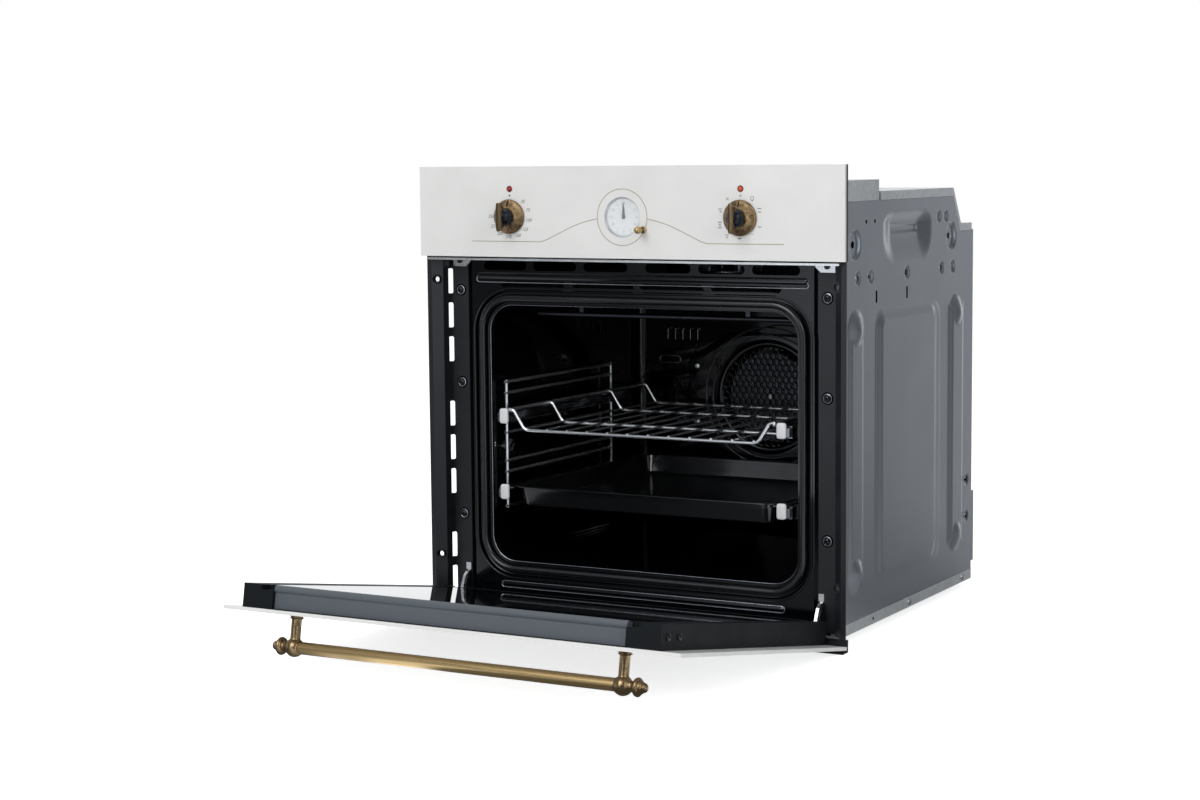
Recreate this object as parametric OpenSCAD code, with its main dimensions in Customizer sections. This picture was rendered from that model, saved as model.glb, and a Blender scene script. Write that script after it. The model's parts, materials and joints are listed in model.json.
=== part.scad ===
// Built-in electric oven, 60 cm class, with its door resting open on its stop.
// X runs to the right, Y to the back and Z up. X = 0 is the middle of the oven, Y = 0 is the plane
// where the front frame meets the cabinet, and Z = 0 is the cabinet shelf under the base plate.

/* [Front] */
// Width of the control panel and of the door glass
front_w = 595; // [590:1:600]
// Height of the control panel
panel_h = 114.5; // [112:0.5:120]
// Height of the door glass
door_h = 445; // [442:1:450]
// Height of the closed door's lower edge above the shelf
door_low = 9; // [8.5:0.5:11]
// Gap between the closed door and the control panel
vent_gap = 5; // [4:0.5:8]
// Thickness of the door glass and of the panel glass
glass_t = 4.3; // [4:0.1:5]
// Distance of the outer glass faces in front of the frame plane
front_out = 10.3; // [10:0.1:11]
// Distance that the bottom trim reaches below the shelf
trim_drop = 10.5; // [8:0.5:14]

/* [Casing] */
// Width over the two side panels
casing_w = 556; // [550:1:560]
// Depth of the casing behind the frame plane
casing_d = 480; // [478:1:500]
// Height of the side panels above the panel's lower edge
casing_rise = 69.7; // [66:0.5:80]
// Sheet thickness of the casing
sheet = 1.2; // [1:0.1:1.5]
// Height of the base tray's walls
base_wall = 13.7; // [10:0.5:16]
// Half width of the front frame at its lips
lip_x = 295; // [294:0.5:296]
// Width of the strip that carries the frame screws
strip_w = 26; // [24:1:27]
// Depth of the recess that the door closes into
recess_d = 26; // [26:0.5:28]
// Half distance between the left and right cabinet screws
cab_screw_x = 283; // [282:0.5:284]
// Height of the lower cabinet screws
cab_screw_low = 66; // [60:1:80]
// Distance of the upper cabinet screws below the panel
cab_screw_drop = 31; // [24:1:39]
// Radius of the cabinet screw holes
cab_hole_r = 3.2; // [2.5:0.1:3.5]
// Height of the raised control box on top
box_rise = 25.3; // [20:0.5:30]
// Height of the top cover's side flange
cover_rise = 10.8; // [8:0.5:14]

/* [Cavity] */
// Width of the cavity
cavity_w = 442; // [440:1:444]
// Height of the cavity floor
cavity_low = 58; // [56:0.5:60]
// Distance from the cavity's roof up to the panel's lower edge
roof_drop = 63; // [61:0.5:66]
// Depth of the space between the cavity's back wall and the casing's back
back_space = 36.8; // [36:0.1:40]
// Width of the door opening
opening_w = 438; // [434:1:439]
// Corner radius of the door opening
opening_r = 34; // [25:1:50]
// Radius of the door seal
seal_r = 4.4; // [3.8:0.1:4.4]
// Half width of the fan baffle
baffle_x = 127; // [120:1:135]
// Depth of the fan baffle
baffle_d = 24; // [23:1:28]
// Height of the fan axis above the middle of the cavity
fan_up = 19; // [16:0.5:22]
// Radius of the fan blades
fan_r = 62; // [50:1:66]
// Radius of the heater tubes
tube_r = 3.5; // [3:0.1:4]

/* [Shelves] */
// Height of the upper slide's middle
upper_z = 248; // [245:1:251]
// Height of the lower slide's middle
lower_z = 148.5; // [146:0.5:151]
// Length of the slides
slide_len = 350; // [330:1:360]
// Height of a slide's channel
slide_h = 15; // [14:0.5:16]
// Radius of the side racks' wires
rack_wire_r = 2.2; // [2:0.1:2.4]
// Radius of the shelf's rails
rail_r = 2.2; // [1.8:0.1:2.4]
// Radius of the shelf's cross wires
wire_r = 1.4; // [1:0.1:1.8]
// Number of cross wires in the shelf
wire_n = 12; // [8:1:14]
// Distance between the shelf's wires
wire_pitch = 29.4; // [22:0.2:30]
// Depth of the baking tray
tray_h = 25; // [20:1:30]
// Distance of the shelf's rear rail from the cavity's back wall
shelf_back = 48.2; // [46:0.2:60]

/* [Controls] */
// Distance of each knob from the middle
knob_x = 162; // [150:1:170]
// Height of the knobs above the panel's lower edge
knob_up = 51.2; // [45:0.2:58]
// Radius of the knobs
knob_r = 21.8; // [19:0.2:24]
// Height of a knob's grip in front of the panel
grip_out = 29.5; // [26:0.5:32]
// Radius of the knobs' domes
dome_r = 11.7; // [9:0.1:12.5]
// Radius of the switch shafts
shaft_r = 3; // [2:0.1:4]
// Height of the pilot lamps above the knobs
lamp_up = 35; // [32:0.5:38]
// Radius of the pilot lamps
lamp_r = 3; // [2:0.1:4]
// Radius of the clock opening
clock_r = 25; // [22:0.5:28]

/* [Handle] */
// Distance of each handle post from the middle
handle_x = 215; // [200:1:225]
// Distance of the handle below the door's upper edge when it is closed
handle_drop = 33; // [27:1:40]
// Distance of the bar's axis from the glass
handle_out = 38; // [34:0.5:45]
// Radius of the handle bar
bar_r = 7.3; // [6:0.1:8]
// Radius of the balls that hold the bar
ball_r = 11.2; // [10.5:0.1:12]

/* [Hinge] */
// Angle of the open door
door_open = 80; // [80:1:80]
// Depth of the hinge axis behind the frame plane
hinge_y = 4.5; // [4.3:0.1:4.7]
// Height of the hinge axis above the shelf
hinge_z = 6.5; // [6.3:0.1:6.7]
// Distance of the hinge arms from the middle
hinge_x = 253; // [252.5:0.5:253.5]
// Radius of the hinge pins
pin_r = 2.5; // [2:0.1:2.7]

/* [Hidden] */
$fn = 48;
gap = 0.3;
fit = 0.05;
cut = 1;
// Colours
white = "whitesmoke";
black = [0.06, 0.06, 0.07];
grey = [0.45, 0.47, 0.5];
galvanised = [0.62, 0.64, 0.66];
bright = [0.8, 0.81, 0.82];
bronze = [0.55, 0.44, 0.27];
enamel = [0.03, 0.03, 0.05];
// Front
fx = front_w / 2;
face_y = -front_out;
glass_back = face_y + glass_t;
door_top = door_low + door_h;
panel_z = door_top + vent_gap;
panel_top = panel_z + panel_h;
casing_top = panel_z + casing_rise;
cx = casing_w / 2;
// The casing's top slopes down to a lower step at the back
slant_y = casing_d - 76;
step_back = casing_d - 49;
rear_top = casing_top - 47.5;
// Rows of dents and holes in the side panels, from the top down
row_a = casing_top - 26;
row_b = casing_top - 52.5;
row_c = casing_top - 93.7;
row_d = casing_top - 157.7;
// Front frame: the crease where the inner wall meets the screw strip
wall_x = lip_x - 20.7;
strip_x = wall_x - strip_w;
plate_x = strip_x - 6;
plate_step = 6;
flange_y = recess_d + plate_step;
flange_back = flange_y + sheet;
side_y = flange_back + 7;
frame_screw_z = [118.5, 292.5, panel_z - 45.5];
cab_screw_high = panel_z - cab_screw_drop;
post_slots = [31.5, 76.2, 160.9, 206, 250.6, 335.6, 380.2, 424.9];
frame_screw_x = strip_x + 11.7;
screw_head_r = 4.2;
screw_r = 2;
// Cavity
cav_x = cavity_w / 2;
cav_top = panel_z - roof_drop;
fan_z = (cavity_low + cav_top) / 2 + fan_up;
cav_back = casing_d - back_space;
// Half height of the fan baffle, and the heater ring between it and the fan
baffle_z = 88;
ring_r = fan_r + (baffle_z - fan_r) / 2;
ring_z = sqrt(ring_r * ring_r - 12 * 12);
open_x = opening_w / 2;
open_low = cavity_low + 1;
open_top = cav_top - 1;
seal_x = open_x + 9;
seal_y = recess_d + 5 - seal_r;
step_y = recess_d + 5;
step_x = open_x + 19;
plate_top = panel_z - cut;
row_1 = plate_top - 12;
row_2 = plate_top - 35.3;
// Door
fr_x = plate_x + 29;
frame_low = door_low + 6;
frame_top = door_top - 3;
door_back = glass_back + 27.7;
frame_bar = 35;
inner_glass_t = 4;
inner_x = fr_x - 25.5;
profile_x = fr_x - 42;
profile_low = frame_top - 15;
handle_z = door_top - handle_drop;
bar_y = face_y - handle_out;
// Controls
knob_z = panel_z + knob_up;
lamp_z = knob_z + lamp_up;
set_x = 30;
set_z = knob_z - 15.3;
set_r = 1.5;
dial_y = glass_back + gap;
fin_w = 7;
// Shelves
ladder_x = cav_x - 9;
ladder_y = [58, 343];
ladder_z = [127, 141.5, 172.7, 187.4, 224.6, 239, 277, 291.5];
slide_y = flange_y - 3.5;
slide_x = ladder_x - rack_wire_r - fit;
channel_w = 7.8;
lip = 1.2;
seat_in = slide_x - 23.6;
shelf_end = cav_back - shelf_back;
cross_y = [27.5, 127, shelf_end - 104, shelf_end];

// Helpers: straight solids along each axis, and wires
module along_x(x0, x1) { translate([x0, 0, 0]) rotate([90, 0, 90]) linear_extrude(x1 - x0) children(); }
module along_y(y0, y1) { translate([0, y1, 0]) rotate([90, 0, 0]) linear_extrude(y1 - y0) children(); }
module along_z(z0, z1) { translate([0, 0, z0]) linear_extrude(z1 - z0) children(); }
module box(x0, x1, y0, y1, z0, z1) { translate([x0, y0, z0]) cube([x1 - x0, y1 - y0, z1 - z0]); }
module wide(x, y0, y1, z0, z1) { box(-x, x, y0, y1, z0, z1); }
module rod_x(r, x0, x1, y, z) { translate([x0, y, z]) rotate([0, 90, 0]) cylinder(r = r, h = x1 - x0); }
module rod_y(r, x, y0, y1, z) { translate([x, y1, z]) rotate([90, 0, 0]) cylinder(r = r, h = y1 - y0); }
module rod_z(r, x, y, z0, z1) { translate([x, y, z0]) cylinder(r = r, h = z1 - z0); }
module turned_y(x, y, z) { translate([x, y, z]) rotate([90, 0, 0]) rotate_extrude() children(); }
module both() { children(); mirror([1, 0, 0]) children(); }
// A straight wire from a to b with a round joint at a
module wire(a, b, r) {
    d = b - a;
    translate(a) {
        sphere(r = r + 0.03);
        rotate([0, acos(d[2] / norm(d)), atan2(d[1], d[0])]) cylinder(r = r, h = norm(d));
    }
}
// Flat outlines with round corners, drawn from x0 to x1 and z0 to z1
module round_rect(x0, x1, z0, z1, r) {
    translate([x0 + r, z0]) square([x1 - x0 - 2 * r, z1 - z0]);
    translate([x0, z0 + r]) square([x1 - x0, z1 - z0 - 2 * r]);
    for (x = [x0 + r, x1 - r], z = [z0 + r, z1 - r]) translate([x, z]) circle(r = r);
}
module on_open_door() {
    translate([0, hinge_y, hinge_z]) rotate([door_open, 0, 0]) translate([0, -hinge_y, -hinge_z]) children();
}

// Casing: the base plate's tongue meets the trim, and a tab in its middle reaches through the trim's notch
module base_plate() {
    tongue_x = hinge_x - 17;
    tongue_y = trim_y + trim_t;
    floor_y = 14;
    color(grey) difference() {
        union() {
            wide(cx, floor_y, casing_d + sheet - fit, 0, sheet);
            wide(tongue_x, tongue_y, floor_y + cut, 0, sheet);
            wide(trim_tab, -0.8, floor_y, 0, sheet);
            both() box(cx - sheet, cx, side_y, casing_d + sheet - fit, 0, base_wall);
            wide(cx, casing_d - fit, casing_d + sheet - fit, 0, base_wall);
        }
        // holes for the side screws and cooling slots in the floor
        both() for (y = [128, 249, casing_d - 35]) rod_x(screw_r, cx - 3, cx + cut, y, base_wall / 2);
        for (x = [-160:80:160], y = [120:60:360]) box(x - 25, x + 25, y, y + 6, -cut, 2 * sheet);
    }
}

// The trim stands just in front of the shelf's edge and the base plate's edge
trim_y = 0.9;
trim_t = 1.5;
trim_tab = 20;
module bottom_trim() {
    back = trim_y + trim_t;
    notch_low = -2.6;
    color(black) difference() {
        union() {
            wide(fx, -front_out - 3.2, back - fit, -trim_drop, -trim_drop + trim_t);
            wide(fx, trim_y, back - fit, -trim_drop, 0);
            wide(hinge_x - 17, trim_y, back, -fit, 2.5);
            both() box(hinge_x + 11, fx, trim_y, back, -fit, 5);
        }
        wide(trim_tab + gap, trim_y - cut, back + cut, notch_low, 2.5 + cut);
    }
}

// The post's sheet section: lip, slope with the cabinet screws, inner wall, screw strip and rear leg
module post_section(t) {
    slope_x = lip_x - 6.5;
    slope_in = wall_x + 3;
    polygon([[lip_x, 0], [slope_x, 0], [slope_in, 10], [wall_x, recess_d], [strip_x, recess_d],
        [strip_x, flange_y], [strip_x + t, flange_y], [strip_x + t, recess_d + t],
        [wall_x + t, recess_d + t], [slope_in + t, 10 + 0.4 * t], [slope_x + 0.4 * t, t], [lip_x, t]]);
}

module front_post() {
    cup_r = 6.2;
    cup_y = 5.2;
    post_low = 5 + gap;
    color(black) difference() {
        union() {
            along_z(post_low, casing_top) post_section(sheet);
            for (z = [cab_screw_low, cab_screw_high])
                rod_y(cup_r, cab_screw_x, cup_y - 2.8, cup_y + sheet, z);
        }
        for (z = [cab_screw_low, cab_screw_high]) {
            rod_y(cup_r - sheet, cab_screw_x, -cut, cup_y, z);
            rod_y(cab_hole_r, cab_screw_x, 0, 2 * cup_y, z);
        }
        // long cooling slots across the crease
        for (z = post_slots)
            along_y(recess_d - 6, recess_d + 2 * sheet) slot_outline(z);
        for (z = frame_screw_z) rod_y(screw_r, frame_screw_x, recess_d - cut, recess_d + 3, z);
        rod_y(screw_r, frame_screw_x, recess_d - cut, recess_d + 3, panel_z - 7.5);
        // opening for the hinge arm
        box(hinge_x - 2.4, hinge_x + 2.4, recess_d - cut, recess_d + 3, 36, 53);
    }
}
module slot_outline(z) { round_rect(wall_x - 2.2, wall_x + 3.3, z - 16.5, z + 16.5, 2.7); }

module right_front_post() { front_post(); }
module left_front_post() { mirror([1, 0, 0]) front_post(); }

module casing_screws() {
    head_t = 2;
    color(black) both() {
        for (z = frame_screw_z) {
            rod_y(screw_head_r, frame_screw_x, recess_d - head_t, recess_d, z);
            rod_y(screw_r - fit, frame_screw_x, recess_d - fit, recess_d + 5, z);
        }
    }
    color(bright) both() {
        rod_y(3.4, frame_screw_x, recess_d - sheet - head_t, recess_d - sheet, panel_z - 7.5);
        rod_y(screw_r - fit, frame_screw_x, recess_d - sheet - fit, recess_d + 5, panel_z - 7.5);
    }
    color(galvanised) both() for (p = side_screws) {
        rod_x(side_head_r, cx - seat_of(p), cx - seat_of(p) + head_t, p[0], p[1]);
        rod_x(screw_r - fit, cx - p[3] - 2.5, cx - seat_of(p) + fit, p[0], p[1]);
    }
}
// Screws in the side panels: y, z, and the radius and depth of the dent that each sits in
side_screws = [[casing_d - 85, row_b, 17, 4], [237, row_c, 9, 2], [76.5, row_c, 9, 2],
    [casing_d - 120, row_c, 9, 2], [casing_d - 20, 141, 9, 0], [casing_d - 20, 91, 9, 0],
    [249, base_wall / 2, 9, 0], [casing_d - 35, base_wall / 2, 9, 0]];
side_head_r = 3.6;
// Depth at which a screw head's rim meets its dent
function seat_of(p) = p[3] == 0 ? 0
    : p[3] - ball_of(p[2], p[3]) + sqrt(pow(ball_of(p[2], p[3]), 2) - side_head_r * side_head_r) - fit;

// A side panel lies in the plane X = cx and joggles in behind the front frame
module side_panel() {
    color(grey) difference() {
        union() {
            along_x(cx - sheet, cx) polygon([[side_y, base_wall], [casing_d, base_wall], [casing_d, rear_top],
                [step_back, rear_top], [slant_y, casing_top], [side_y, casing_top]]);
            along_z(base_wall, casing_top) polygon([[strip_x + 2, flange_back],
                [strip_x + 20, flange_back], [strip_x + 20, side_y], [cx - sheet / 2, side_y],
                [cx - sheet / 2, side_y + sheet], [strip_x + 20 - sheet, side_y + sheet],
                [strip_x + 20 - sheet, flange_back + sheet], [strip_x + 2, flange_back + sheet]]);
            press(main_press, 7, 0);
            press(grip_press, 14, 0);
            for (c = channels) channel(c, sheet);
            for (d = dents) dent(d, sheet);
        }
        press(main_press, 7, sheet);
        press(grip_press, 14, sheet);
        for (c = channels) channel(c, 0);
        for (d = dents) dent(d, 0);
        for (p = side_screws) if (p[1] > base_wall) rod_x(screw_r, cx - 8, cx + cut, p[0], p[1]);
        rod_x(4.5, cx - 8, cx + cut, 67, row_b);
        for (y = [102.5, 130]) rod_x(2.4, cx - 3, cx + cut, y, row_a);
        for (y = [135.6, 237.5]) box(cx - 3, cx + cut, y - 3, y + 3, row_c - 33, row_c - 18);
    }
}
// Pressed recess: outer y0, y1, z0, z1 then the inner floor's y0, y1, z0, z1
main_press = [128, casing_d - 125, 47, row_c - 40, 159, casing_d - 143, 62, row_c - 67];
grip_press = [156, casing_d - 158, row_c + 14, row_a + 14.3, 176, casing_d - 216, row_a - 18.7, row_a - 1.7];
module press(p, depth, t) {
    hull() {
        for (y = [p[0] + 14, p[1] - 14], z = [p[2] + 14, p[3] - 14])
            rod_x(14, cx - sheet + t, cx - sheet + t + (t > 0 ? cut : 0.01), y, z, $fn = 24);
        for (y = [p[4] + 8, p[5] - 8], z = [p[6] + 8, p[7] - 8])
            rod_x(8, cx - depth - sheet + t, cx - depth - sheet + t + 0.01, y, z, $fn = 24);
    }
}
// Round dents pressed inwards: y, z, radius, depth
dents = [[67, row_b, 17, 4], [casing_d - 85, row_b, 17, 4], [casing_d - 130, row_a, 8, 2],
    [casing_d - 104.5, row_a, 8, 2], [76.5, row_c, 9, 2], [116.5, row_c, 9, 2], [237, row_c, 9, 2],
    [casing_d - 120, row_c, 9, 2], [casing_d - 79, row_c, 9, 2]];
// Radius of the ball that presses a dent or channel of half width r
function ball_of(r, depth) = (r * r + depth * depth) / (2 * depth);
module dent(d, t) {
    ball = ball_of(d[2], d[3]);
    intersection() {
        translate([cx + ball - d[3], d[0], d[1]]) sphere(r = ball + t);
        box(cx - d[3] - 2, t > 0 ? cx - sheet / 2 : cx + cut, d[0] - 30, d[0] + 30, d[1] - 30, d[1] + 30);
    }
}
// Upright channel pressed inwards, with a round dent at each end: y, lower z, upper z, dent radius
channels = [[71.5, 72, row_d, 21], [casing_d - 65, 69, row_d, 23]];
channel_half = 13;
channel_deep = 4;
module channel(c, t) {
    roll = ball_of(channel_half, channel_deep);
    for (z = [c[1], c[2]]) dent([c[0], z, c[3], channel_deep + 1.5], t);
    intersection() {
        rod_z(roll + t, cx + roll - channel_deep, c[0], c[1], c[2]);
        box(cx - channel_deep - 2, t > 0 ? cx - sheet / 2 : cx + cut, c[0] - 30, c[0] + 30, c[1], c[2]);
    }
}
module right_side_panel() { side_panel(); }
module left_side_panel() { mirror([1, 0, 0]) side_panel(); }

module top_cover() {
    start_y = 149;
    slope_y = slant_y - 1;
    t = sheet;
    color(galvanised) union() {
        along_x(-cx, cx) polygon([[start_y, casing_top + cover_rise - t],
            [slope_y, casing_top + cover_rise - t], [step_back + 1.5, rear_top + 10 - t],
            [casing_d - 7, rear_top + 10 - t], [casing_d - 7, rear_top + fit],
            [casing_d - 7 + t, rear_top + fit], [casing_d - 7 + t, rear_top + 10],
            [step_back + 2, rear_top + 10], [slope_y + 0.6, casing_top + cover_rise],
            [start_y, casing_top + cover_rise]]);
        along_x(-cx, cx) polygon([[start_y, casing_top], [start_y + t, casing_top],
            [start_y + t, casing_top + cover_rise], [start_y, casing_top + cover_rise]]);
        wide(cx, casing_d - 7, casing_d - fit, rear_top + fit, rear_top + fit + t);
        both() along_x(cx - t, cx) polygon([[start_y, casing_top], [slant_y, casing_top],
            [step_back, rear_top], [casing_d - 7 + t, rear_top], [casing_d - 7 + t, rear_top + 10],
            [step_back + 2, rear_top + 10], [slope_y + 0.6, casing_top + cover_rise],
            [start_y, casing_top + cover_rise]]);
    }
}

module control_box_cover() {
    end_y = 143;
    top_z = casing_top + box_rise;
    color(galvanised) difference() {
        wide(cx, 0, end_y, casing_top, top_z);
        wide(cx - sheet, -cut, end_y - sheet, casing_top - cut, top_z - sheet);
        for (x = [-200:50:200]) box(x - 18, x + 18, 100, 104, top_z - 5, top_z + cut);
    }
}

module back_panel() {
    color(grey) difference() {
        wide(cx - sheet, casing_d - 1.5, casing_d - fit, base_wall, rear_top);
        rod_y(30, 0, casing_d - 3, casing_d + 3, fan_z);
        for (a = [0:45:315]) rod_y(3, 45 * cos(a), casing_d - 3, casing_d + 3, fan_z + 45 * sin(a));
        for (x = [-180:30:180]) box(x - 10, x + 10, casing_d - 3, casing_d + 3, rear_top - 61, rear_top - 55);
        box(160, 214, casing_d - 3, casing_d + 3, 60, 96);
    }
}

// Spacer cover low on the back, with the connection box behind it
module rear_cover() {
    low = 24.4;
    high = 122;
    out = 9;
    color(grey) difference() {
        wide(cx, casing_d, casing_d + out, low, high);
        wide(cx - sheet, casing_d - cut, casing_d + out - sheet, low + sheet, high - sheet);
        box(176, 198, casing_d + out - 3, casing_d + out + 3, 68, 88);
    }
}

module terminal_block() {
    color("ivory") difference() {
        box(162, 212, casing_d - 12, casing_d + 7, 62, 94);
        for (x = [171, 187, 203]) rod_y(2.2, x, casing_d - 4, casing_d + 8, 78);
    }
}

// Front plate with its vents, its pressed beads and the stepped opening
module front_plate() {
    bead_r = 6;
    ends = [[-224, -160], [-150, -86.7], [-76, -12.7], [12.7, 76], [86.7, 150], [160, 224]];
    low_ends = [[-199, -104], [-92, -5], [5, 92], [104, 199]];
    color(enamel) difference() {
        union() {
            wide(plate_x, recess_d, recess_d + sheet, sheet, plate_top);
            both() box(plate_x - sheet, plate_x, recess_d, flange_back, sheet, plate_top);
            both() box(plate_x - sheet, strip_x + 13, flange_y, flange_back, sheet, plate_top);
            wide(plate_x, recess_d, flange_back, plate_top - sheet, plate_top);
            along_y(recess_d, step_y + sheet) step_outline(sheet);
            bead(-231, 231, plate_top - 25);
            bead(-199, 199, 29);
            bead(-199, 199, 8);
        }
        along_y(recess_d - cut, step_y) step_outline(0);
        along_y(recess_d - cut, flange_back + cut) round_rect(-open_x, open_x, open_low, open_top, opening_r);
        for (e = ends) along_y(recess_d - cut, recess_d + 3) round_rect(e[0], e[1], row_1 - 6, row_1 + 6, 5.9);
        for (e = low_ends)
            along_y(recess_d - cut, recess_d + 3) round_rect(e[0], e[1], row_2 - 3.7, row_2 + 3.7, 3.6);
    }
}
module step_outline(t) {
    round_rect(-step_x - t, step_x + t, open_low - 18 - t, open_top + 18 + t, opening_r + 17 + t);
}
module bead(x0, x1, z) {
    out = 1.6;
    r = 6;
    intersection() {
        union() {
            rod_x(r, x0, x1, recess_d + r - out, z);
            for (x = [x0, x1]) translate([x, recess_d + r - out, z]) sphere(r = r + 0.02);
        }
        wide(plate_x, recess_d - 5, recess_d + sheet, z - 9, z + 9);
    }
}

// Tubular seal that lies in the step round the opening
module door_gasket() {
    r = opening_r + 9;
    low = open_low - 9;
    high = open_top + 9;
    color(black) union() {
        for (x = [-seal_x, seal_x]) rod_z(seal_r, x, seal_y, low + r, high - r);
        for (z = [low, high]) rod_x(seal_r, -seal_x + r, seal_x - r, seal_y, z);
        for (x = [-1, 1], z = [-1, 1])
            translate([x * (seal_x - r), seal_y, z > 0 ? high - r : low + r])
                rotate([90, 0, 0]) rotate([0, 0, x > 0 ? (z > 0 ? 0 : 270) : (z > 0 ? 90 : 180)])
                    rotate_extrude(angle = 90) translate([r, 0]) circle(r = seal_r);
    }
}

module cavity_liner() {
    t = sheet;
    y0 = step_y + sheet;
    color(enamel) difference() {
        union() {
            wide(cav_x + t, y0, cav_back + t, cavity_low - t, cav_top + t);
            wide(cav_x + 9, y0, y0 + t, cavity_low - 9, cav_top + 9);
        }
        wide(cav_x, y0 + t, cav_back, cavity_low, cav_top);
        along_y(y0 - cut, y0 + 2 * t) round_rect(-open_x, open_x, open_low, open_top, opening_r);
        // fan shaft, heater ends, lamp and vents in the back wall
        rod_y(8, 0, cav_back - cut, cav_back + 3, fan_z);
        for (x = [-12, 12]) rod_y(tube_r + 0.1, x, cav_back - cut, cav_back + 3, fan_z + ring_z);
        for (x = [-25, 25]) rod_y(tube_r + 0.1, x, cav_back - cut, cav_back + 3, cav_top - 16);
        rod_y(16, lamp_at[0], cav_back - cut, cav_back + 3, lamp_at[1]);
        for (x = [-168:12:-124]) box(x - 2.5, x + 2.5, cav_back - cut, cav_back + 3, cav_top - 75, cav_top - 60);
    }
}
lamp_at = [172, cav_top - 46];

module insulation() {
    y0 = side_y + 3;
    color("khaki") difference() {
        wide(cav_x + 29, y0, cav_back + 24, 31, cav_top + 27);
        wide(cav_x + sheet + fit, y0 - cut, cav_back + sheet + fit, cavity_low - 14, cav_top + sheet + fit);
        rod_y(48, 0, cav_back, cav_back + 30, fan_z);
        box(-40, 40, cav_back, cav_back + 30, fan_z + 60, cav_top + 2);
        rod_y(22, lamp_at[0], cav_back, cav_back + 30, lamp_at[1]);
    }
}

// Heaters: a roof grill, a floor heater under the liner and a ring round the fan
module grill_element() {
    z = cav_top - 16;
    turn_y = cav_back - 103;
    loop = [[-25, cav_back + 8], [-25, turn_y], [-185, turn_y], [-185, 100], [185, 100],
        [185, turn_y], [25, turn_y], [25, cav_back + 8]];
    r = tube_r;
    color([0.25, 0.24, 0.24]) union() {
        for (i = [0:6]) wire([loop[i][0], loop[i][1], z], [loop[i + 1][0], loop[i + 1][1], z], r);
        // mounting plate on the back wall and two hooks on the roof
        box(-40, 40, cav_back - 1.5, cav_back, z - 8, z + 8);
        for (x = [-120, 120]) box(x - 3, x + 3, 98, 102, z, cav_top);
    }
}
module bottom_element() {
    z = cavity_low - sheet - tube_r - fit;
    end_y = cav_back - tube_r;
    turn_y = cav_back - 63;
    loop = [[-25, end_y], [-25, turn_y], [-150, turn_y], [-150, 110], [150, 110],
        [150, turn_y], [25, turn_y], [25, end_y]];
    color([0.25, 0.24, 0.24]) union()
        for (i = [0:6]) wire([loop[i][0], loop[i][1], z], [loop[i + 1][0], loop[i + 1][1], z], tube_r);
}
module ring_element() {
    y = cav_back - 12;
    color([0.25, 0.24, 0.24]) union() {
        translate([0, y, fan_z]) rotate([90, 0, 0]) rotate_extrude() translate([ring_r, 0]) circle(r = tube_r);
        for (x = [-12, 12]) rod_y(tube_r, x, y, cav_back + 10, fan_z + ring_z);
    }
}

module baffle_outline(grow) {
    up = baffle_z + grow;
    x = baffle_x + grow;
    polygon([[-x, fan_z - up + 38], [-x + 63, fan_z - up], [x - 63, fan_z - up], [x, fan_z - up + 38],
        [x, fan_z + up - 38], [x - 63, fan_z + up], [-x + 63, fan_z + up], [-x, fan_z + up - 38]]);
}
module fan_baffle() {
    y0 = cav_back - baffle_d;
    t = 1;
    pitch = 13;
    hole_r = 4.6;
    color(enamel) difference() {
        union() {
            difference() {
                along_y(y0, cav_back) baffle_outline(0);
                along_y(y0 + t, cav_back + cut) baffle_outline(-t);
            }
            for (r = [76, 106]) turned_y(0, y0 + fit, fan_z) translate([r, 0]) circle(r = 2, $fn = 24);
        }
        // perforated middle
        for (i = [-5:5], j = [-6:6]) {
            x = (i + (j % 2) / 2) * pitch;
            z = j * pitch * 0.866;
            if (norm([x, z]) < 66) rod_y(hole_r, x, y0 - 3, y0 + 2, fan_z + z, $fn = 6);
        }
    }
}

module fan_motor() {
    color(galvanised) union() {
        rod_y(40, 0, cav_back + sheet, cav_back + 3, fan_z);
        rod_y(26, 0, cav_back + 2, cav_back + 28, fan_z);
        rod_y(shaft_r, 0, cav_back - 19, cav_back + 3, fan_z);
    }
}
module fan_blade() {
    y0 = cav_back - 18;
    blades = 8;
    color(bright) difference() {
        union() {
            rod_y(fan_r, 0, y0, y0 + 1.2, fan_z);
            rod_y(9, 0, y0 - 1, y0 + 8, fan_z);
            for (i = [0:blades - 1]) translate([0, 0, fan_z]) rotate([0, i * 360 / blades, 0])
                box(22, fan_r - 1, y0, y0 + 14, -0.6, 0.6);
        }
        rod_y(shaft_r + fit, 0, y0 - 3, y0 + 12, fan_z);
    }
}

module lamp_glass() {
    color([0.9, 0.9, 0.85]) difference() {
        turned_y(lamp_at[0], cav_back, lamp_at[1]) difference() {
            union() {
                square([24, 4]);
                square([20, 14]);
            }
            translate([-cut, -cut]) square([18, 13]);
        }
    }
}
module lamp_socket() {
    color("ivory") union() {
        rod_y(15.9, lamp_at[0], cav_back + 0.2, cav_back + 18, lamp_at[1]);
        rod_y(19, lamp_at[0], cav_back + sheet, cav_back + 4, lamp_at[1]);
        rod_y(9, lamp_at[0], cav_back - 9, cav_back + 1, lamp_at[1]);
    }
}

// Side racks: two uprights, four pairs of wires, and two studs that fix them to the wall
module side_rack() {
    color(bright) union() {
        for (y = ladder_y) rod_z(rack_wire_r, ladder_x, y, ladder_z[0] - 0.03, ladder_z[7] + 0.03);
        for (z = ladder_z) {
            rod_y(rack_wire_r - 0.02, ladder_x, ladder_y[0] - 3, ladder_y[1] + 3, z);
        }
        for (y = ladder_y) rod_x(rack_wire_r - 0.01, ladder_x, cav_x, y, 206);
        for (y = [75, 320]) {
            rod_x(8, cav_x - 5, cav_x, y, 206);
            rod_y(1.6, cav_x - 3, y < 200 ? ladder_y[0] : y, y < 200 ? y : ladder_y[1], 206);
        }
    }
}
module left_side_rack() { mirror([1, 0, 0]) side_rack(); }
module right_side_rack() { side_rack(); }

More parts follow.
